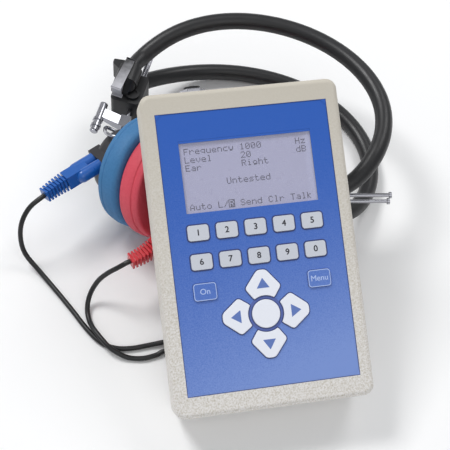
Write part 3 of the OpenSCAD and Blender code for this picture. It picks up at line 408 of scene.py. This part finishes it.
def lathe(name, profile, place, finish, body, steps=96):
    """Turns a profile of (distance along x, radius) about the x axis of a place."""
    bm = bmesh.new()
    rows = [bm.verts.new((x, r, 0)) for x, r in profile]
    edges = [bm.edges.new(pair) for pair in zip(rows, rows[1:] + rows[:1])]
    bmesh.ops.spin(bm, geom=rows + edges, cent=(0, 0, 0), axis=(1, 0, 0),
                   angle=2 * math.pi, steps=steps, use_merge=True)
    bmesh.ops.remove_doubles(bm, verts=bm.verts, dist=1e-7)
    bm.transform(place)
    return finish_mesh(bm, name, finish, body)


def length_of(points):
    return sum((b - a).length for a, b in zip(points, points[1:]))


def spline(points, steps):
    """A smooth path through points, with that many steps in each span."""
    last = len(points) - 1
    made = []
    for i in range(last):
        a, b, c, d = (points[max(i - 1, 0)], points[i], points[i + 1], points[min(i + 2, last)])
        for t in (k / steps for k in range(steps)):
            made.append(0.5 * (2 * b + (c - a) * t + (2 * a - 5 * b + 4 * c - d) * t ** 2
                               + (3 * b - a - 3 * c + d) * t ** 3))
    return made + [points[-1]]


# %% [markdown]
# ## Leads
#
# A lead leaves each plug's boot, falls to the table and runs under the unit, where both end in a
# moulded joint. The headset of a hand-held unit has a short cable, about 1.3 m from ear to plug.
# The photograph shows the two leads only, so the rest of that length lies coiled flat under the
# unit and ends in its jack plug. A lead is a round section swept along its route, which lies where
# the CAD lead lies.

# %%
def route(*points):
    return [bench(*p) for p in points]


def lead_route(first, way, middle, last):
    """A route that leaves straight along way and arrives straight along +x."""
    start, end = bench(*first), bench(*last)
    way = Vector(way).normalized()
    inner = [start + STRAIGHT * way, *route(*middle), end - Vector((STRAIGHT, 0, 0))]
    return [start, *spline(inner, 4), end]


STRAIGHT = 0.0029
TABLE = 1.6  # the height of a lead's middle when it lies on the table
blue_points = lead_route(
    (-111.692, 132.192, 39.755), (-0.813759, -0.580801, -0.0215936),
    [(-121, 127, 36.5), (-126.5, 122.5, 29.5), (-128.7, 118, 19.5), (-127.2, 112.5, 9.5),
     (-120, 103, 3.2), (-111, 88, 1.8), (-103, 73.5, TABLE), (-96, 60, TABLE), (-89, 50, TABLE),
     (-81, 45, TABLE), (-72, 43.5, TABLE), (-62, 44, TABLE), (-54, 44.4, 2.2)],
    (-45.02, 44.4, 2.5))
red_points = lead_route(
    (-66.8801, 83.7454, 32.583), (-0.939693, -0.34202, 0),
    [(-74.5, 82.2, 29.5), (-80, 83, 24), (-85.5, 83.3, 17), (-90, 81.5, 10), (-93, 77.5, 5),
     (-94.3, 72, 2.4), (-94, 66, 1.9), (-92.7, 60, 3.4), (-90, 53.5, 4.9), (-85, 45, 4.9),
     (-80, 40.5, 3.6), (-74, 37.5, 1.8), (-66, 36, TABLE), (-58, 37, TABLE), (-54, 38.4, 2.2)],
    (-45.02, 38.4, 2.5))
LEAD_RADIUS = 0.00152
for side, points in (("blue", blue_points), ("red", red_points)):
    lead = tube(side + "_lead_cord", points, LEAD_RADIUS, finishes["lead_black"], sides=12)
    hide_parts(side + "_lead")
    side + "_earphone"
    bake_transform(lead)
    print(side, "lead", round(length_of(points), 4), "m")

# %% [markdown]
# The trunk is one lead from the moulded joint, through eight and a half turns, to the jack plug.
# The coil is a flat spiral in two layers: it winds in along the table, climbs over half a turn
# at the middle and winds out on top.

# %%
COIL = {"x": 9, "y": 62, "r": 28.8, "turns": 8.5, "step": 4.15, "low": 1.9}


def coil_spot(s):
    """A point of the coil on the bench, with s from 0 at its start to 1 at its end."""
    angle = math.radians(180 - 360 * COIL["turns"] * s)
    inward = COIL["step"] * COIL["turns"] * min(s, 1 - s)
    climb = min(max((s - 0.5) * 2 * COIL["turns"] + 0.5, 0), 1)
    reach = COIL["r"] - inward
    return (COIL["x"] + reach * math.cos(angle), COIL["y"] + reach * math.sin(angle),
            COIL["low"] + COIL["step"] * climb)


TRUNK_RADIUS = 0.0018
COIL_STEPS = 306
coil = [bench(*coil_spot(k / COIL_STEPS)) for k in range(COIL_STEPS + 1)]
back = Vector((0, -2 * TRUNK_RADIUS, 0))
into = spline([bench(-24.4, 41.4, 2.5), bench(-21.4, 44.6, 2.2), bench(-19.8, 49.9, 2),
               coil[0] + back], 4)
out = spline([coil[-1] + back, bench(36.8, 40, 5.5), bench(32.8, 29, 5), bench(30.02, 23.7, 4.8),
              bench(24.62, 22.5, 4.8)], 4)
trunk_points = [bench(-27.98, 41.4, 2.5), *into, *coil, *out, bench(21.02, 22.5, 4.8)]
trunk = tube("trunk_cord", trunk_points, TRUNK_RADIUS, finishes["lead_black"], "headband",
             sides=10)
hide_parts("trunk_start", "trunk_coil", "trunk_tail")
print("trunk", round(length_of(trunk_points), 4), "m")

# %% [markdown]
# The jack plug at the far end is turned metal with a black boot: a handle, then the 6.35 mm
# contact with its rounded tip, and the ring of insulation before the tip's groove.

# %%
JACK_PLACE = Matrix.Translation(bench(21, 22.5, 4.8)) @ Matrix.Rotation(math.pi, 4, "Z")


def mm(*pairs):
    return [(a / 1000, b / 1000) for a, b in pairs]


CONTACT_R = 6.35 / 2
jack_handle = lathe(
    "jack_plug_handle", mm((10, 0), (10, 4.25), (10.8, 4.7), (34, 4.7), (35, 3.9), (35, 0)),
    JACK_PLACE, finishes["bright"], "headband", 48)
jack_boot = lathe(
    "jack_plug_boot", mm((0, 0), (0, 2.4), (9.9, 3.6), (9.9, 0)),
    JACK_PLACE, finishes["lead_black"], "headband", 32)
jack_tip = lathe(
    "jack_plug_tip", mm((35, 0), (35, CONTACT_R), (52, CONTACT_R), (58.5, CONTACT_R), (60, 2.2),
                        (61.6, 3.05), (65, 0.8), (65, 0)),
    JACK_PLACE, finishes["bright"], "headband", 48)
jack_ring = lathe(
    "jack_plug_ring", mm((57.4, 3.1), (57.4, 3.2), (58.2, 3.2), (58.2, 3.1)),
    JACK_PLACE, finishes["lead_black"], "headband", 48)
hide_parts("jack_plug")
joint = refined("lead_joint", 0.0011, 3)
print("plug", jack_handle.name, "joint", joint.name)

# %% [markdown]
# The length of each lead, and of the trunk, is summed along its route.

# %%
LEAD_LENGTH = {"blue": round(length_of(blue_points), 3), "red": round(length_of(red_points), 3)}
round(length_of(trunk_points), 3)

# %% [markdown]
# ## Headband
#
# Each band is a spring wire in a thick black sleeve. The sleeve follows an ellipse, seen from
# above, and bends into a moulded block at each end. It is swept again here on the same path as
# in the CAD model, with more sides and closer steps, because it fills the top of the picture. The
# rubber is pinched where it enters a block and swells by under half a millimetre outside it.

# %%
ARCH = {"x": 19.8, "y": 172.5, "half": 83.6, "depth": 69.4, "heading": math.radians(65.2),
        "first": -66, "last": 96, "mid": 36, "fade": 100}
SLEEVE_RADIUS = 4.9
MIDDLE_Z, FORK, SOCKET_Y, SOCKET_END = 34, 14, 5, 12.05
ARM = {"blue": ((-73.8, 145.4), math.radians(66.5), 64, 1),
       "red": ((-43, 124.8), math.radians(-7.5), 86, -1)}
SWELL, SWELL_RINGS = 0.45, 22
CROWN = {1: 58, -1: SLEEVE_RADIUS + SWELL + 0.2}
BLUE_STEPS, ARCH_STEPS, RED_STEPS, SMOOTHINGS = 20, 72, 26, 24


def arch_point(angle, s):
    """A point of the ellipse that band s (1 the upper one, -1 the lower) follows."""
    fade = (abs(angle - ARCH["mid"]) / ARCH["fade"]) ** 4
    across = ARCH["half"] * math.sin(math.radians(angle))
    out = ARCH["depth"] * math.cos(math.radians(angle))
    ca, sa = math.cos(ARCH["heading"]), math.sin(ARCH["heading"])
    return Vector((ARCH["x"] + across * sa + out * ca, ARCH["y"] - across * ca + out * sa,
                   CROWN[s] + (MIDDLE_Z + s * FORK - CROWN[s]) * fade))


def socket_point(side, past, s):
    """Where band s leaves its socket in a block, and how far past the socket's mouth."""
    (x, y), angle, reach, sign = ARM[side]
    along = Vector((math.cos(angle), math.sin(angle), 0))
    outward = sign * Vector((-math.sin(angle), math.cos(angle), 0))
    return (Vector((x, y, MIDDLE_Z)) + (reach + SOCKET_END + past) * along + SOCKET_Y * outward
            + Vector((0, 0, s * FORK)))


def bend(a, way_a, b, way_b, count):
    """A curve that leaves a along way_a and arrives at b along way_b."""
    made = []
    for t in (k / count for k in range(count + 1)):
        made.append((1 - t) ** 2 * (1 + 2 * t) * a + t * (1 - t) ** 2 * way_a
                    + t * t * (3 - 2 * t) * b - t * t * (1 - t) * way_b)
    return made


def band_points(s):
    ways = {side: Vector((math.cos(arm[1]), math.sin(arm[1]), 0)) for side, arm in ARM.items()}
    p, w = socket_point("blue", 2, s), socket_point("red", 2, s)
    q, v = arch_point(ARCH["first"], s), arch_point(ARCH["last"], s)
    q_way = (arch_point(ARCH["first"] + 1, s) - arch_point(ARCH["first"] - 1, s)).normalized()
    v_way = (arch_point(ARCH["last"] + 1, s) - arch_point(ARCH["last"] - 1, s)).normalized()
    sweep = ARCH["last"] - ARCH["first"]
    middle = [arch_point(ARCH["first"] + sweep * k / ARCH_STEPS, s)
              for k in range(1, ARCH_STEPS)]
    first = bend(p, (q - p).length * ways["blue"], q, (q - p).length * q_way, BLUE_STEPS)
    last = bend(v, (w - v).length * v_way, w, -(w - v).length * ways["red"], RED_STEPS)
    whole = [socket_point("blue", 0, s), *first, *middle, *last, socket_point("red", 0, s)]
    for _ in range(SMOOTHINGS):
        inner = [(a + 2 * b + c) / 4 for a, b, c in zip(whole, whole[1:], whole[2:])]
        whole = [*whole[:4], *inner[3:-3], *whole[-4:]]
    return [bench(*x) for x in whole]


for s, node in ((1, "upper_sleeve"), (-1, "lower_sleeve")):
    points = band_points(s)
    swell = [min(k, len(points) - 1 - k, SWELL_RINGS) / SWELL_RINGS for k in range(len(points))]
    radii = [(SLEEVE_RADIUS + SWELL * t * t * (3 - 2 * t)) / 1000 for t in swell]
    sleeve = tube(node + "_piece", points, radii, finishes["band_black"], "headband", sides=36)
    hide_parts(node)
    print(node, len(sleeve.data.polygons), "faces")

# %% [markdown]
# ## Blocks, yokes and clamps
#
# The blocks are glass-filled mouldings with a wide radius on every edge. The clamps are cast and
# plated, the yokes bent from wire. Their CAD shapes are kept, and only their edges are broken.

# %%
for node, width, segments in (("blue_block", 0.0007, 3), ("red_block", 0.0007, 2),
                              ("blue_clamp", 0.0004, 3), ("red_clamp", 0.0004, 2),
                              ("blue_yoke", 0.0, 1), ("red_yoke", 0.0, 1),
                              ("blue_shell", 0.0005, 2), ("red_shell", 0.0005, 2)):
    piece = refined(node, width, segments)
    print(node, len(piece.data.polygons), "faces")

# %% [markdown]
# The blue block carries a raised rib along its outer edge. Its flat top catches the light, which is
# painted into its colour: a painted highlight of pale satin grey, brightest at its lower end. It is
# a bar along the block with a wide bevel, sunk into the block, and its colour runs along it.

# %%
RIB_WIDTH, RIB_TAPER, RIB_HEIGHT, RIB_EDGE = 0.0044, 0.0008, 0.009, 0.0009
rib_highlight_finish = plain("rib_painted_highlight", (70, 70, 74), 0.34)
rib_low, rib_high = bench(-60.8, 198.9, 53), bench(-48.9, 218, 56.6)
rib_way = (rib_high - rib_low).normalized()
rib_side = rib_way.cross(Vector((0, 0, 1))).normalized()
rib_up = rib_side.cross(rib_way)
bm = bmesh.new()
bmesh.ops.create_cube(bm, size=1)
for vertex in bm.verts:
    x, y, z = vertex.co
    vertex.co = (rib_low.lerp(rib_high, x + 0.5) + y * (RIB_WIDTH - RIB_TAPER * x) * rib_side
                 + (z - 0.5) * RIB_HEIGHT * rib_up)
bmesh.ops.bevel(bm, geom=bm.edges[:], offset=RIB_EDGE, offset_type="OFFSET", affect="EDGES",
                segments=3, profile=0.5, material=-1)
rib = finish_mesh(bm, "blue_block_rib", rib_highlight_finish, "headband")
# Painted highlight: the rib's top is pale at its lower end and dark at its upper end.
along = (rib_highlight_finish.axis(1) - rib_low.y) * (1 / (rib_high.y - rib_low.y))
painted_light_factor = along + (rib_highlight_finish.noise(300) - 0.5) * 0.5
rib_highlight_finish.drive("Base Color", rib_highlight_finish.ramp(painted_light_factor, srgb(186, 186, 192), srgb(52, 52, 55)))
print("rib", round((rib_high - rib_low).length * 1000, 1), "mm")

# %% [markdown]
# ## Ear cushions
#
# An audiometric cushion is one piece of moulded rubber, and its whole look is its profile: a
# rear band, a groove where it grips the earphone, a broad crown, a drawn-in front edge and a
# dished face that seals on the ear. The mould's parting line runs round the crown. Turned about
# the earphone's axis, the profile gives all of it at once. Its corners are rounded before it is
# turned, because a rubber edge never prints sharp.

# %%
FACE_TURN, FACE_RISE = math.radians(47), math.radians(18)
facing = Vector((math.cos(FACE_RISE) * math.cos(FACE_TURN),
                 -math.cos(FACE_RISE) * math.sin(FACE_TURN), math.sin(FACE_RISE)))
PIVOT = {"blue": (-57, 152.5, 32.2582), "red": (-31.5899, 125.251, 42.1776)}


def earphone_place(side):
    """The earphone's frame: its pivot, with +x to the other earphone."""
    x = facing if side == "blue" else -facing
    y = Vector((0, 0, 1)).cross(x).normalized()
    turn = Matrix((x, y, x.cross(y))).transposed().to_4x4()
    return Matrix.Translation(bench(*PIVOT[side])) @ turn


def rounded(profile, reach, count=3):
    """The profile with each corner turned into a small arc."""
    made = []
    total = len(profile)
    for i, here in enumerate(profile):
        here = Vector(here)
        back = Vector(profile[i - 1]) - here
        ahead = Vector(profile[(i + 1) % total]) - here
        near = min(reach, 0.45 * back.length, 0.45 * ahead.length)
        back, ahead = back.normalized() * near, ahead.normalized() * near
        made += [tuple(here + (1 - t) ** 2 * back + t ** 2 * ahead)
                 for t in (k / count for k in range(count + 1))]
    return made


R, BACK, FRONT = 35, 3.5, 19  # the crown's radius and the two ends, in mm from the pivot
CORNER_REACH = 0.0009
cushion_profile = mm(
    (BACK, 21), (BACK, R - 2.2), (BACK + 0.8, R - 1.2), (BACK + 3.6, R - 0.5),
    (BACK + 4.1, R - 0.9), (BACK + 4.5, R - 0.9), (BACK + 5, R - 0.2), (BACK + 8, R),
    (FRONT - 3, R - 0.3), (FRONT - 1, R - 1.5), (FRONT, R - 4), (FRONT - 0.3, R - 9),
    (FRONT - 2, 15), (FRONT - 3.4, 11.5), (FRONT - 4.6, 11), (FRONT - 4.6, 14.4),
    (BACK + 5.8, 14.4), (BACK + 5.8, 21))
for side in ("blue", "red"):
    cushion = lathe(side + "_cushion_piece", rounded(cushion_profile, CORNER_REACH),
                    earphone_place(side), finishes["rubber_" + side], side + "_earphone", 128)
    "rubber_" + side
    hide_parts(side + "_cushion")
    print(cushion.name, len(cushion.data.polygons), "faces")

# %% [markdown]
# ## Plugs
#
# The two-pin plugs are moulded over their pins: two round lobes, a saddle between them, a square
# block and a boot of thin ribs that lets the lead bend. Broken edges and a little coat give the
# wet look of soft vinyl.

# %%
for side in ("blue", "red"):
    piece = refined(side + "_plug", 0.0004, 2, sharp=40)
    print(piece.name, len(piece.data.polygons), "faces")

# %% [markdown]
# ## Case
#
# The halves are moulded shells. Their long edges already have their radius in the CAD model, so
# only the seams, the panel's recess and the door get a fine break.

# %%
for node, width in (("front_case", 0.00035), ("rear_case", 0.00035), ("battery_door", 0.0003),
                    ("control_panel", 0.0001), ("jack_nut", 0.0003), ("headset_jack", 0.0002)):
    piece = refined(node, width, 2, sharp=55)
    print(node, len(piece.data.polygons), "faces")

# %% [markdown]
# ## Printed marks
#
# Ink has no thickness to speak of, so every printed mark is a thin flat shape a few hundredths of
# a millimetre above what it is printed on. `flat` makes one from polygons in face coordinates,
# and `band_of` gives the polygons of a line between two outlines. `lettering` makes one from a
# word: it is built as text, turned to a mesh and laid on the face.

# %%
def flat(name, faces, w, finish, body):
    """Polygons given in the unit's face coordinates (mm), lifted to height w."""
    bm = bmesh.new()
    for outline in faces:
        bm.faces.new([bm.verts.new(on_face(u, v, w)) for u, v in outline])
    bmesh.ops.remove_doubles(bm, verts=bm.verts, dist=1e-7)
    for face in bm.faces:
        face.normal_update()
        if face.normal.dot(FACE_W) < 0:
            face.normal_flip()
    return placed(bm, name, finish, body)


def band_of(inner, outer):
    """The strip between two outlines with the same number of points."""
    count = len(inner)
    return [(inner[i], inner[(i + 1) % count], outer[(i + 1) % count], outer[i])
            for i in range(count)]


OVERPRINT = 0.003


def lettering(name, word, size, u, v, w, finish, body, bold=0.05):
    """A word centred on (u, v) of the face. Three shifted prints of it make it bold."""
    curve = bpy.data.curves.new(name, "FONT")
    curve.body = word
    curve.size = size
    curve.align_x, curve.align_y = "CENTER", "CENTER"
    text = bpy.data.objects.new(name, curve)
    bpy.context.scene.collection.objects.link(text)
    bpy.context.view_layer.update()
    thin = bpy.data.meshes.new_from_object(text)
    bpy.data.objects.remove(text)
    bm = bmesh.new()
    for print_number, (du, dv) in enumerate(((-bold, -bold / 2), (bold, -bold / 2), (0, bold))):
        first = len(bm.verts)
        bm.from_mesh(thin)
        bm.verts.ensure_lookup_table()
        for vertex in bm.verts[first:]:
            vertex.co = on_face(u + du + vertex.co.x, v + dv + vertex.co.y,
                                w + OVERPRINT * print_number)
    return placed(bm, name, finish, body)


def round_rect(w, h, r, count=6):
    """The outline of a rectangle with round corners, anticlockwise."""
    made = []
    for quarter in range(4):
        sx = 1 if quarter in (0, 3) else -1
        sy = 1 if quarter < 2 else -1
        for k in range(count + 1):
            a = math.radians(90 * quarter + 90 * k / count)
            made.append((sx * (w / 2 - r) + r * math.cos(a), sy * (h / 2 - r) + r * math.sin(a)))
    return made


def moved(outline, u, v):
    return [(x + u, y + v) for x, y in outline]


# %% [markdown]
# ## Keys
#
# The keys are rubber caps through the film: ten digits, four arrows about a round key, and two
# soft keys that are the film's own blue. Each cap is refined from its CAD node, then gets its
# print. A dark line round each opening is printed on the film. Its shape is read from the cap
# itself: the edges of the cap's top that only one face uses form its outline, and moving each
# corner of that outline outwards gives the two sides of the line.

# %%
def cap_outline(node):
    """The outline of a key's top in the unit's face coordinates, from its CAD mesh."""
    mesh = frame["nodes"][node].data
    offsets = [v.co * 1000 + ORIGIN - FACE for v in mesh.vertices]
    spots = [tuple(round(d.dot(axis), 3) for axis in (FACE_U, FACE_V, FACE_W)) for d in offsets]
    ways = set()
    for polygon in mesh.polygons:
        loop = [spots[i] for i in polygon.vertices]
        if min(spot[2] for spot in loop) > CAP_TOP - 0.02:
            ways |= set(zip(loop, loop[1:] + loop[:1]))
    following = {a: b for a, b in ways if (b, a) not in ways}
    outline = [min(following)]
    while following[outline[-1]] != outline[0]:
        outline.append(following[outline[-1]])
    return [Vector(spot[:2]) for spot in outline]


def grown(outline, by):
    """An anticlockwise outline moved outwards."""
    made = []
    for i, here in enumerate(outline):
        before = (here - outline[i - 1]).normalized()
        after = (outline[(i + 1) % len(outline)] - here).normalized()
        out = Vector((before.y + after.y, -before.x - after.x)).normalized()
        made.append(here + out * by / max(out.dot(Vector((after.y, -after.x))), 0.6))
    return made


def key_line(node, near, far, w, finish):
    outline = cap_outline(node)
    return flat(node + "_line", band_of(grown(outline, near), grown(outline, far)), w, finish,
                "handset")


# %%
KEY_PITCH, KEY_ROW = 15.875, 10.6
CAP_TOP, FILM_TOP = 0.6, -0.2
PRINT = 0.02
CAP_EDGE, CAP_SHARP = 0.00028, 55
DIGIT_SIZE, WORD_SIZE = 4.7, 4.4
GAP, DIGIT_LINE, ARROW_LINE, CENTRE_LINE = 0.12, 0.75, 0.6, 0.55
digits = "1234567890"
for i, digit in enumerate(digits):
    node = "key_" + digit
    refined(node, CAP_EDGE, 3, CAP_SHARP)
    u, v = (i % 5 - 2) * KEY_PITCH, KEY_ROW - (i // 5) * KEY_PITCH
    lettering(node + "_digit", digit, DIGIT_SIZE, u, v, CAP_TOP + PRINT, ink, node, bold=0.12)
    key_line(node, GAP, DIGIT_LINE, FILM_TOP + PRINT, navy)
print("digits", len(digits))

# %% [markdown]
# A soft key has its word and a pale line, 0.4 mm wide, just inside the edge of its cap.

# %%
SOFT_U, SOFT_V, SOFT_W, SOFT_H = 31.8, 21.5, 12.8, 9.6
for node, word, sign in (("key_soft_left", "On", -1), ("key_soft_right", "Menu", 1)):
    refined(node, CAP_EDGE, 3, CAP_SHARP)
    u, v = sign * SOFT_U, -SOFT_V
    inner = moved(round_rect(SOFT_W - 1.1, SOFT_H - 1.1, 1.3), u, v)
    outer = moved(round_rect(SOFT_W - 0.3, SOFT_H - 0.3, 1.6), u, v)
    flat(node + "_line", band_of(inner, outer), CAP_TOP + PRINT, pale_print, node)
    lettering(node + "_word", word, WORD_SIZE, u, v, CAP_TOP + PRINT, pale_print, node)
print("soft keys 2")

# %% [markdown]
# An arrow key is a blunt kite whose inner side is cut by the ring round the centre key. Its print
# is a triangle that points away from the centre. The ring is printed on the film, under the lines
# of the keys that it meets.

# %%
PAD_V, ARROW_OUT, RING_WIDTH = 37.2, 16.4, 2.1


def turned(outline, quarter):
    """An outline turned by quarters about the centre key."""
    a = math.radians(90 * quarter)
    return [(x * math.cos(a) - y * math.sin(a), x * math.sin(a) + y * math.cos(a) - PAD_V)
            for x, y in outline]


triangle = rounded([(-3.6, -2.4), (3.6, -2.4), (0, 3.2)], 0.3, 3)
for quarter, name in enumerate(("up", "left", "down", "right")):
    node = "key_" + name
    refined(node, CAP_EDGE, 3, CAP_SHARP)
    mark = turned(moved(triangle, 0, ARROW_OUT), quarter)
    flat(node + "_arrow", [mark], CAP_TOP + PRINT, blue_print, node)
    key_line(node, GAP, ARROW_LINE, FILM_TOP + 2 * PRINT, navy)
refined("key_centre", 0.0004, 3, CAP_SHARP)
key_line("key_centre", GAP, CENTRE_LINE, FILM_TOP + 2 * PRINT, navy)
centre = cap_outline("key_centre")
flat("pad_ring", band_of(grown(centre, GAP), grown(centre, RING_WIDTH)), FILM_TOP + PRINT,
     ring_print, "handset")
print("arrow keys 4, centre key 1")

# %% [markdown]
# The film is cut square, while the opening for it is moulded with a small radius. Its corners lie
# over that radius, and its cut edge shows as a thin dark line.

# %%
PANEL_W, PANEL_H, CORNER = 95.5, 153.3, 3.2
EDGE_IN, EDGE_OUT = 0.1, 0.5


def rectangle(w, h, u=0.0, v=0.0):
    return [(u + w / 2, v + h / 2), (u - w / 2, v + h / 2), (u - w / 2, v - h / 2),
            (u + w / 2, v - h / 2)]


half_w, half_h = PANEL_W / 2, PANEL_H / 2
corners = [[(sx * half_w, sy * half_h), (sx * (half_w - CORNER), sy * half_h),
            (sx * half_w, sy * (half_h - CORNER))] for sx in (-1, 1) for sy in (-1, 1)]
flat("film_corners", corners, 0.015, film, "handset")
flat("film_edge", band_of(rectangle(PANEL_W - EDGE_IN, PANEL_H - EDGE_IN),
                          rectangle(PANEL_W + EDGE_OUT, PANEL_H + EDGE_OUT)),
     0.03, navy, "handset")
print("film edge", PANEL_W, PANEL_H)

# %% [markdown]
# ## Display
#
# The display is a dot-matrix panel of 22 columns, behind a clear window. A real one draws each
# letter on a grid of 5 by 7 square dots, so that is how it is drawn here: each glyph is a few
# strokes on the grid, given by the column and row of their ends, and each dot that a stroke
# crosses becomes a small square. `LINES` gives each line's foot in mm below the window's top. The
# last line's R is shown reversed, as the ear that is chosen. The film's print covers the window's
# top strip.

# %%
WINDOW_W, WINDOW_H, WINDOW_V = 73.4, 39.6, 41.3
WINDOW_TOP, WINDOW_THICK, DOTS_AT = -0.2, 1.1, -1.36
MASKED = 1.2
GLYPHS = {
    "F": "00 06 46|03 33", "r": "00 04|02 24 34 43", "e": "40 10 01 03 14 34 43 42 02",
    "q": "42 43 34 14 03 02 11 41|44 40", "u": "04 01 10 30 41|44 40",
    "n": "00 04|03 14 34 43 40", "c": "44 14 03 01 10 40", "y": "04 02 11 41|44 41 30 10",
    "1": "15 26 20|10 30", "0": "10 01 05 16 36 45 41 30 10|01 45", "L": "06 00 40",
    "v": "04 02 20 42 44", "l": "16 26 20|10 30", "2": "05 16 36 45 44 00 40",
    "E": "46 06 00 40|03 33", "a": "14 34 43 40 10 01 12 42",
    "R": "00 06 36 45 44 33 03|23 40", "i": "14 24 20|10 30|26 26",
    "g": "43 34 14 03 02 11 41|43 41 30 10", "h": "06 00|03 14 34 43 40",
    "t": "16 11 20 30 41|04 34", "U": "06 01 10 30 41 46", "s": "44 14 03 12 32 41 30 00",
    "d": "46 40|43 34 14 03 01 10 30 41", "A": "00 04 26 44 40|02 42",
    "o": "10 01 03 14 34 43 41 30 10", "/": "00 46",
    "S": "45 36 16 05 04 13 33 42 41 30 10 01", "C": "45 36 16 05 01 10 30 41",
    "T": "06 46|26 20", "k": "06 00|02 24 34|12 30", "H": "06 00|46 40|03 43",
    "z": "04 44 00 40", "B": "00 06 36 45 44 33 03|33 42 41 30 00",
}
CELL_W, DOT, DOT_FILL, TEXT_LEFT = 3.12, 0.5, 0.9, 2.4
LINES = ((7.5, "Frequency 1000      Hz"), (12.1, "Level     20        dB"),
         (16.6, "Ear       Right"), (25.5, "       Untested"),
         (38.1, "Auto L/R Send Clr Talk"))


def dots_of(glyph):
    """The dots that a glyph's strokes cross."""
    found = set()
    for stroke in GLYPHS[glyph].split("|"):
        ends = [(int(p[0]), int(p[1])) for p in stroke.split()]
        for (a, b), (c, d) in zip(ends, ends[1:]):
            count = max(abs(c - a), abs(d - b), 1)
            found |= {(round(a + (c - a) * k / count), round(b + (d - b) * k / count))
                      for k in range(count + 1)}
    return found


squares = []
for down, line in LINES:
    base = WINDOW_V + WINDOW_H / 2 - down
    for column, glyph in enumerate(line):
        if glyph == " ":
            continue
        left = -WINDOW_W / 2 + TEXT_LEFT + column * CELL_W
        marks = dots_of(glyph)
        if line.startswith("Auto") and glyph == "R":
            marks = {(x, y) for x in range(-1, 6) for y in range(-1, 8)} - marks
        for x, y in sorted(marks):
            u, v = left + x * DOT, base + y * DOT
            right, above = u + DOT * DOT_FILL, v + DOT * DOT_FILL
            squares.append([(u, v), (right, v), (right, above), (u, above)])
mask = rectangle(WINDOW_W, MASKED, 0, WINDOW_V + WINDOW_H / 2 - MASKED / 2)
flat("window_mask", [mask], FILM_TOP + 0.01, film, "handset")
flat("display_dots", squares, DOTS_AT, dot_print, "handset")
print("display dots", len(squares))

# %% [markdown]
# The window is a thin clear sheet. It lets the light through to the dots and adds only a faint
# gloss, so its finish is nearly transparent and doesn't refract.

# %%
bm = bmesh.new()
bmesh.ops.create_cube(bm, size=1)
for vertex in bm.verts:
    vertex.co = on_face(vertex.co.x * WINDOW_W, WINDOW_V + vertex.co.y * WINDOW_H,
                        WINDOW_TOP + (vertex.co.z - 0.5) * WINDOW_THICK)
pane = finish_mesh(bm, "display_window_pane", finishes["window"], "handset")
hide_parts("display_window")
print("pane", pane.name)

# %% [markdown]
# ## The rest of the CAD pieces
#
# What is inside, or too small to matter, keeps its CAD mesh. Its finish comes from the record.

# %%
kept = 0
for name, node in frame["nodes"].items():
    if node.hide_render:
        continue
    node.data.materials.clear()
    node.data.materials.append(finishes[SLOT_OF[name]].material)
    kept += 1
print("CAD pieces kept", kept)

# %% [markdown]
# ## Floor and light
#
# The object stands on a white floor. The main light is a box, high on the left and behind, so the
# unit's shadow falls to the right and the front. A weaker one behind on the right gives the
# cushions their second shadow, to the left. A large dim fill over the camera keeps the blacks open.

# %%
LIT_SPOT = (0, 0, 0.05)


def area_light(name, place, size, power):
    """A square box of light that faces the object."""
    data = bpy.data.lights.new(name, "AREA")
    data.shape = "SQUARE"
    data.size = size
    data.energy = power
    made = bpy.data.objects.new(name, data)
    bpy.context.scene.collection.objects.link(made)
    made.location = place
    made.rotation_mode = "QUATERNION"
    made.rotation_quaternion = (Vector(LIT_SPOT) - Vector(place)).to_track_quat("-Z", "Y")


area_light("key_box", (-0.78, 0.85, 1.6), 0.6, 19)
area_light("window_box", (0.95, 0.75, 1.5), 0.7, 7)
area_light("fill_box", (0.1, -1.3, 1.6), 1.6, 8)

world = bpy.data.worlds.new("studio")
bpy.context.scene.world = world
world.use_nodes = True
sky = world.node_tree.nodes["Background"]
sky.inputs["Color"].default_value = (0.95, 0.97, 1.0, 1)
sky.inputs["Strength"].default_value = 0.42

bm = bmesh.new()
bmesh.ops.create_grid(bm, x_segments=1, y_segments=1, size=4)
floor = finish_mesh(bm, "floor", plain("floor", (250, 250, 250), 0.9))
bpy.context.scene.view_settings.view_transform = "Standard"
bpy.context.scene.view_settings.look = "None"
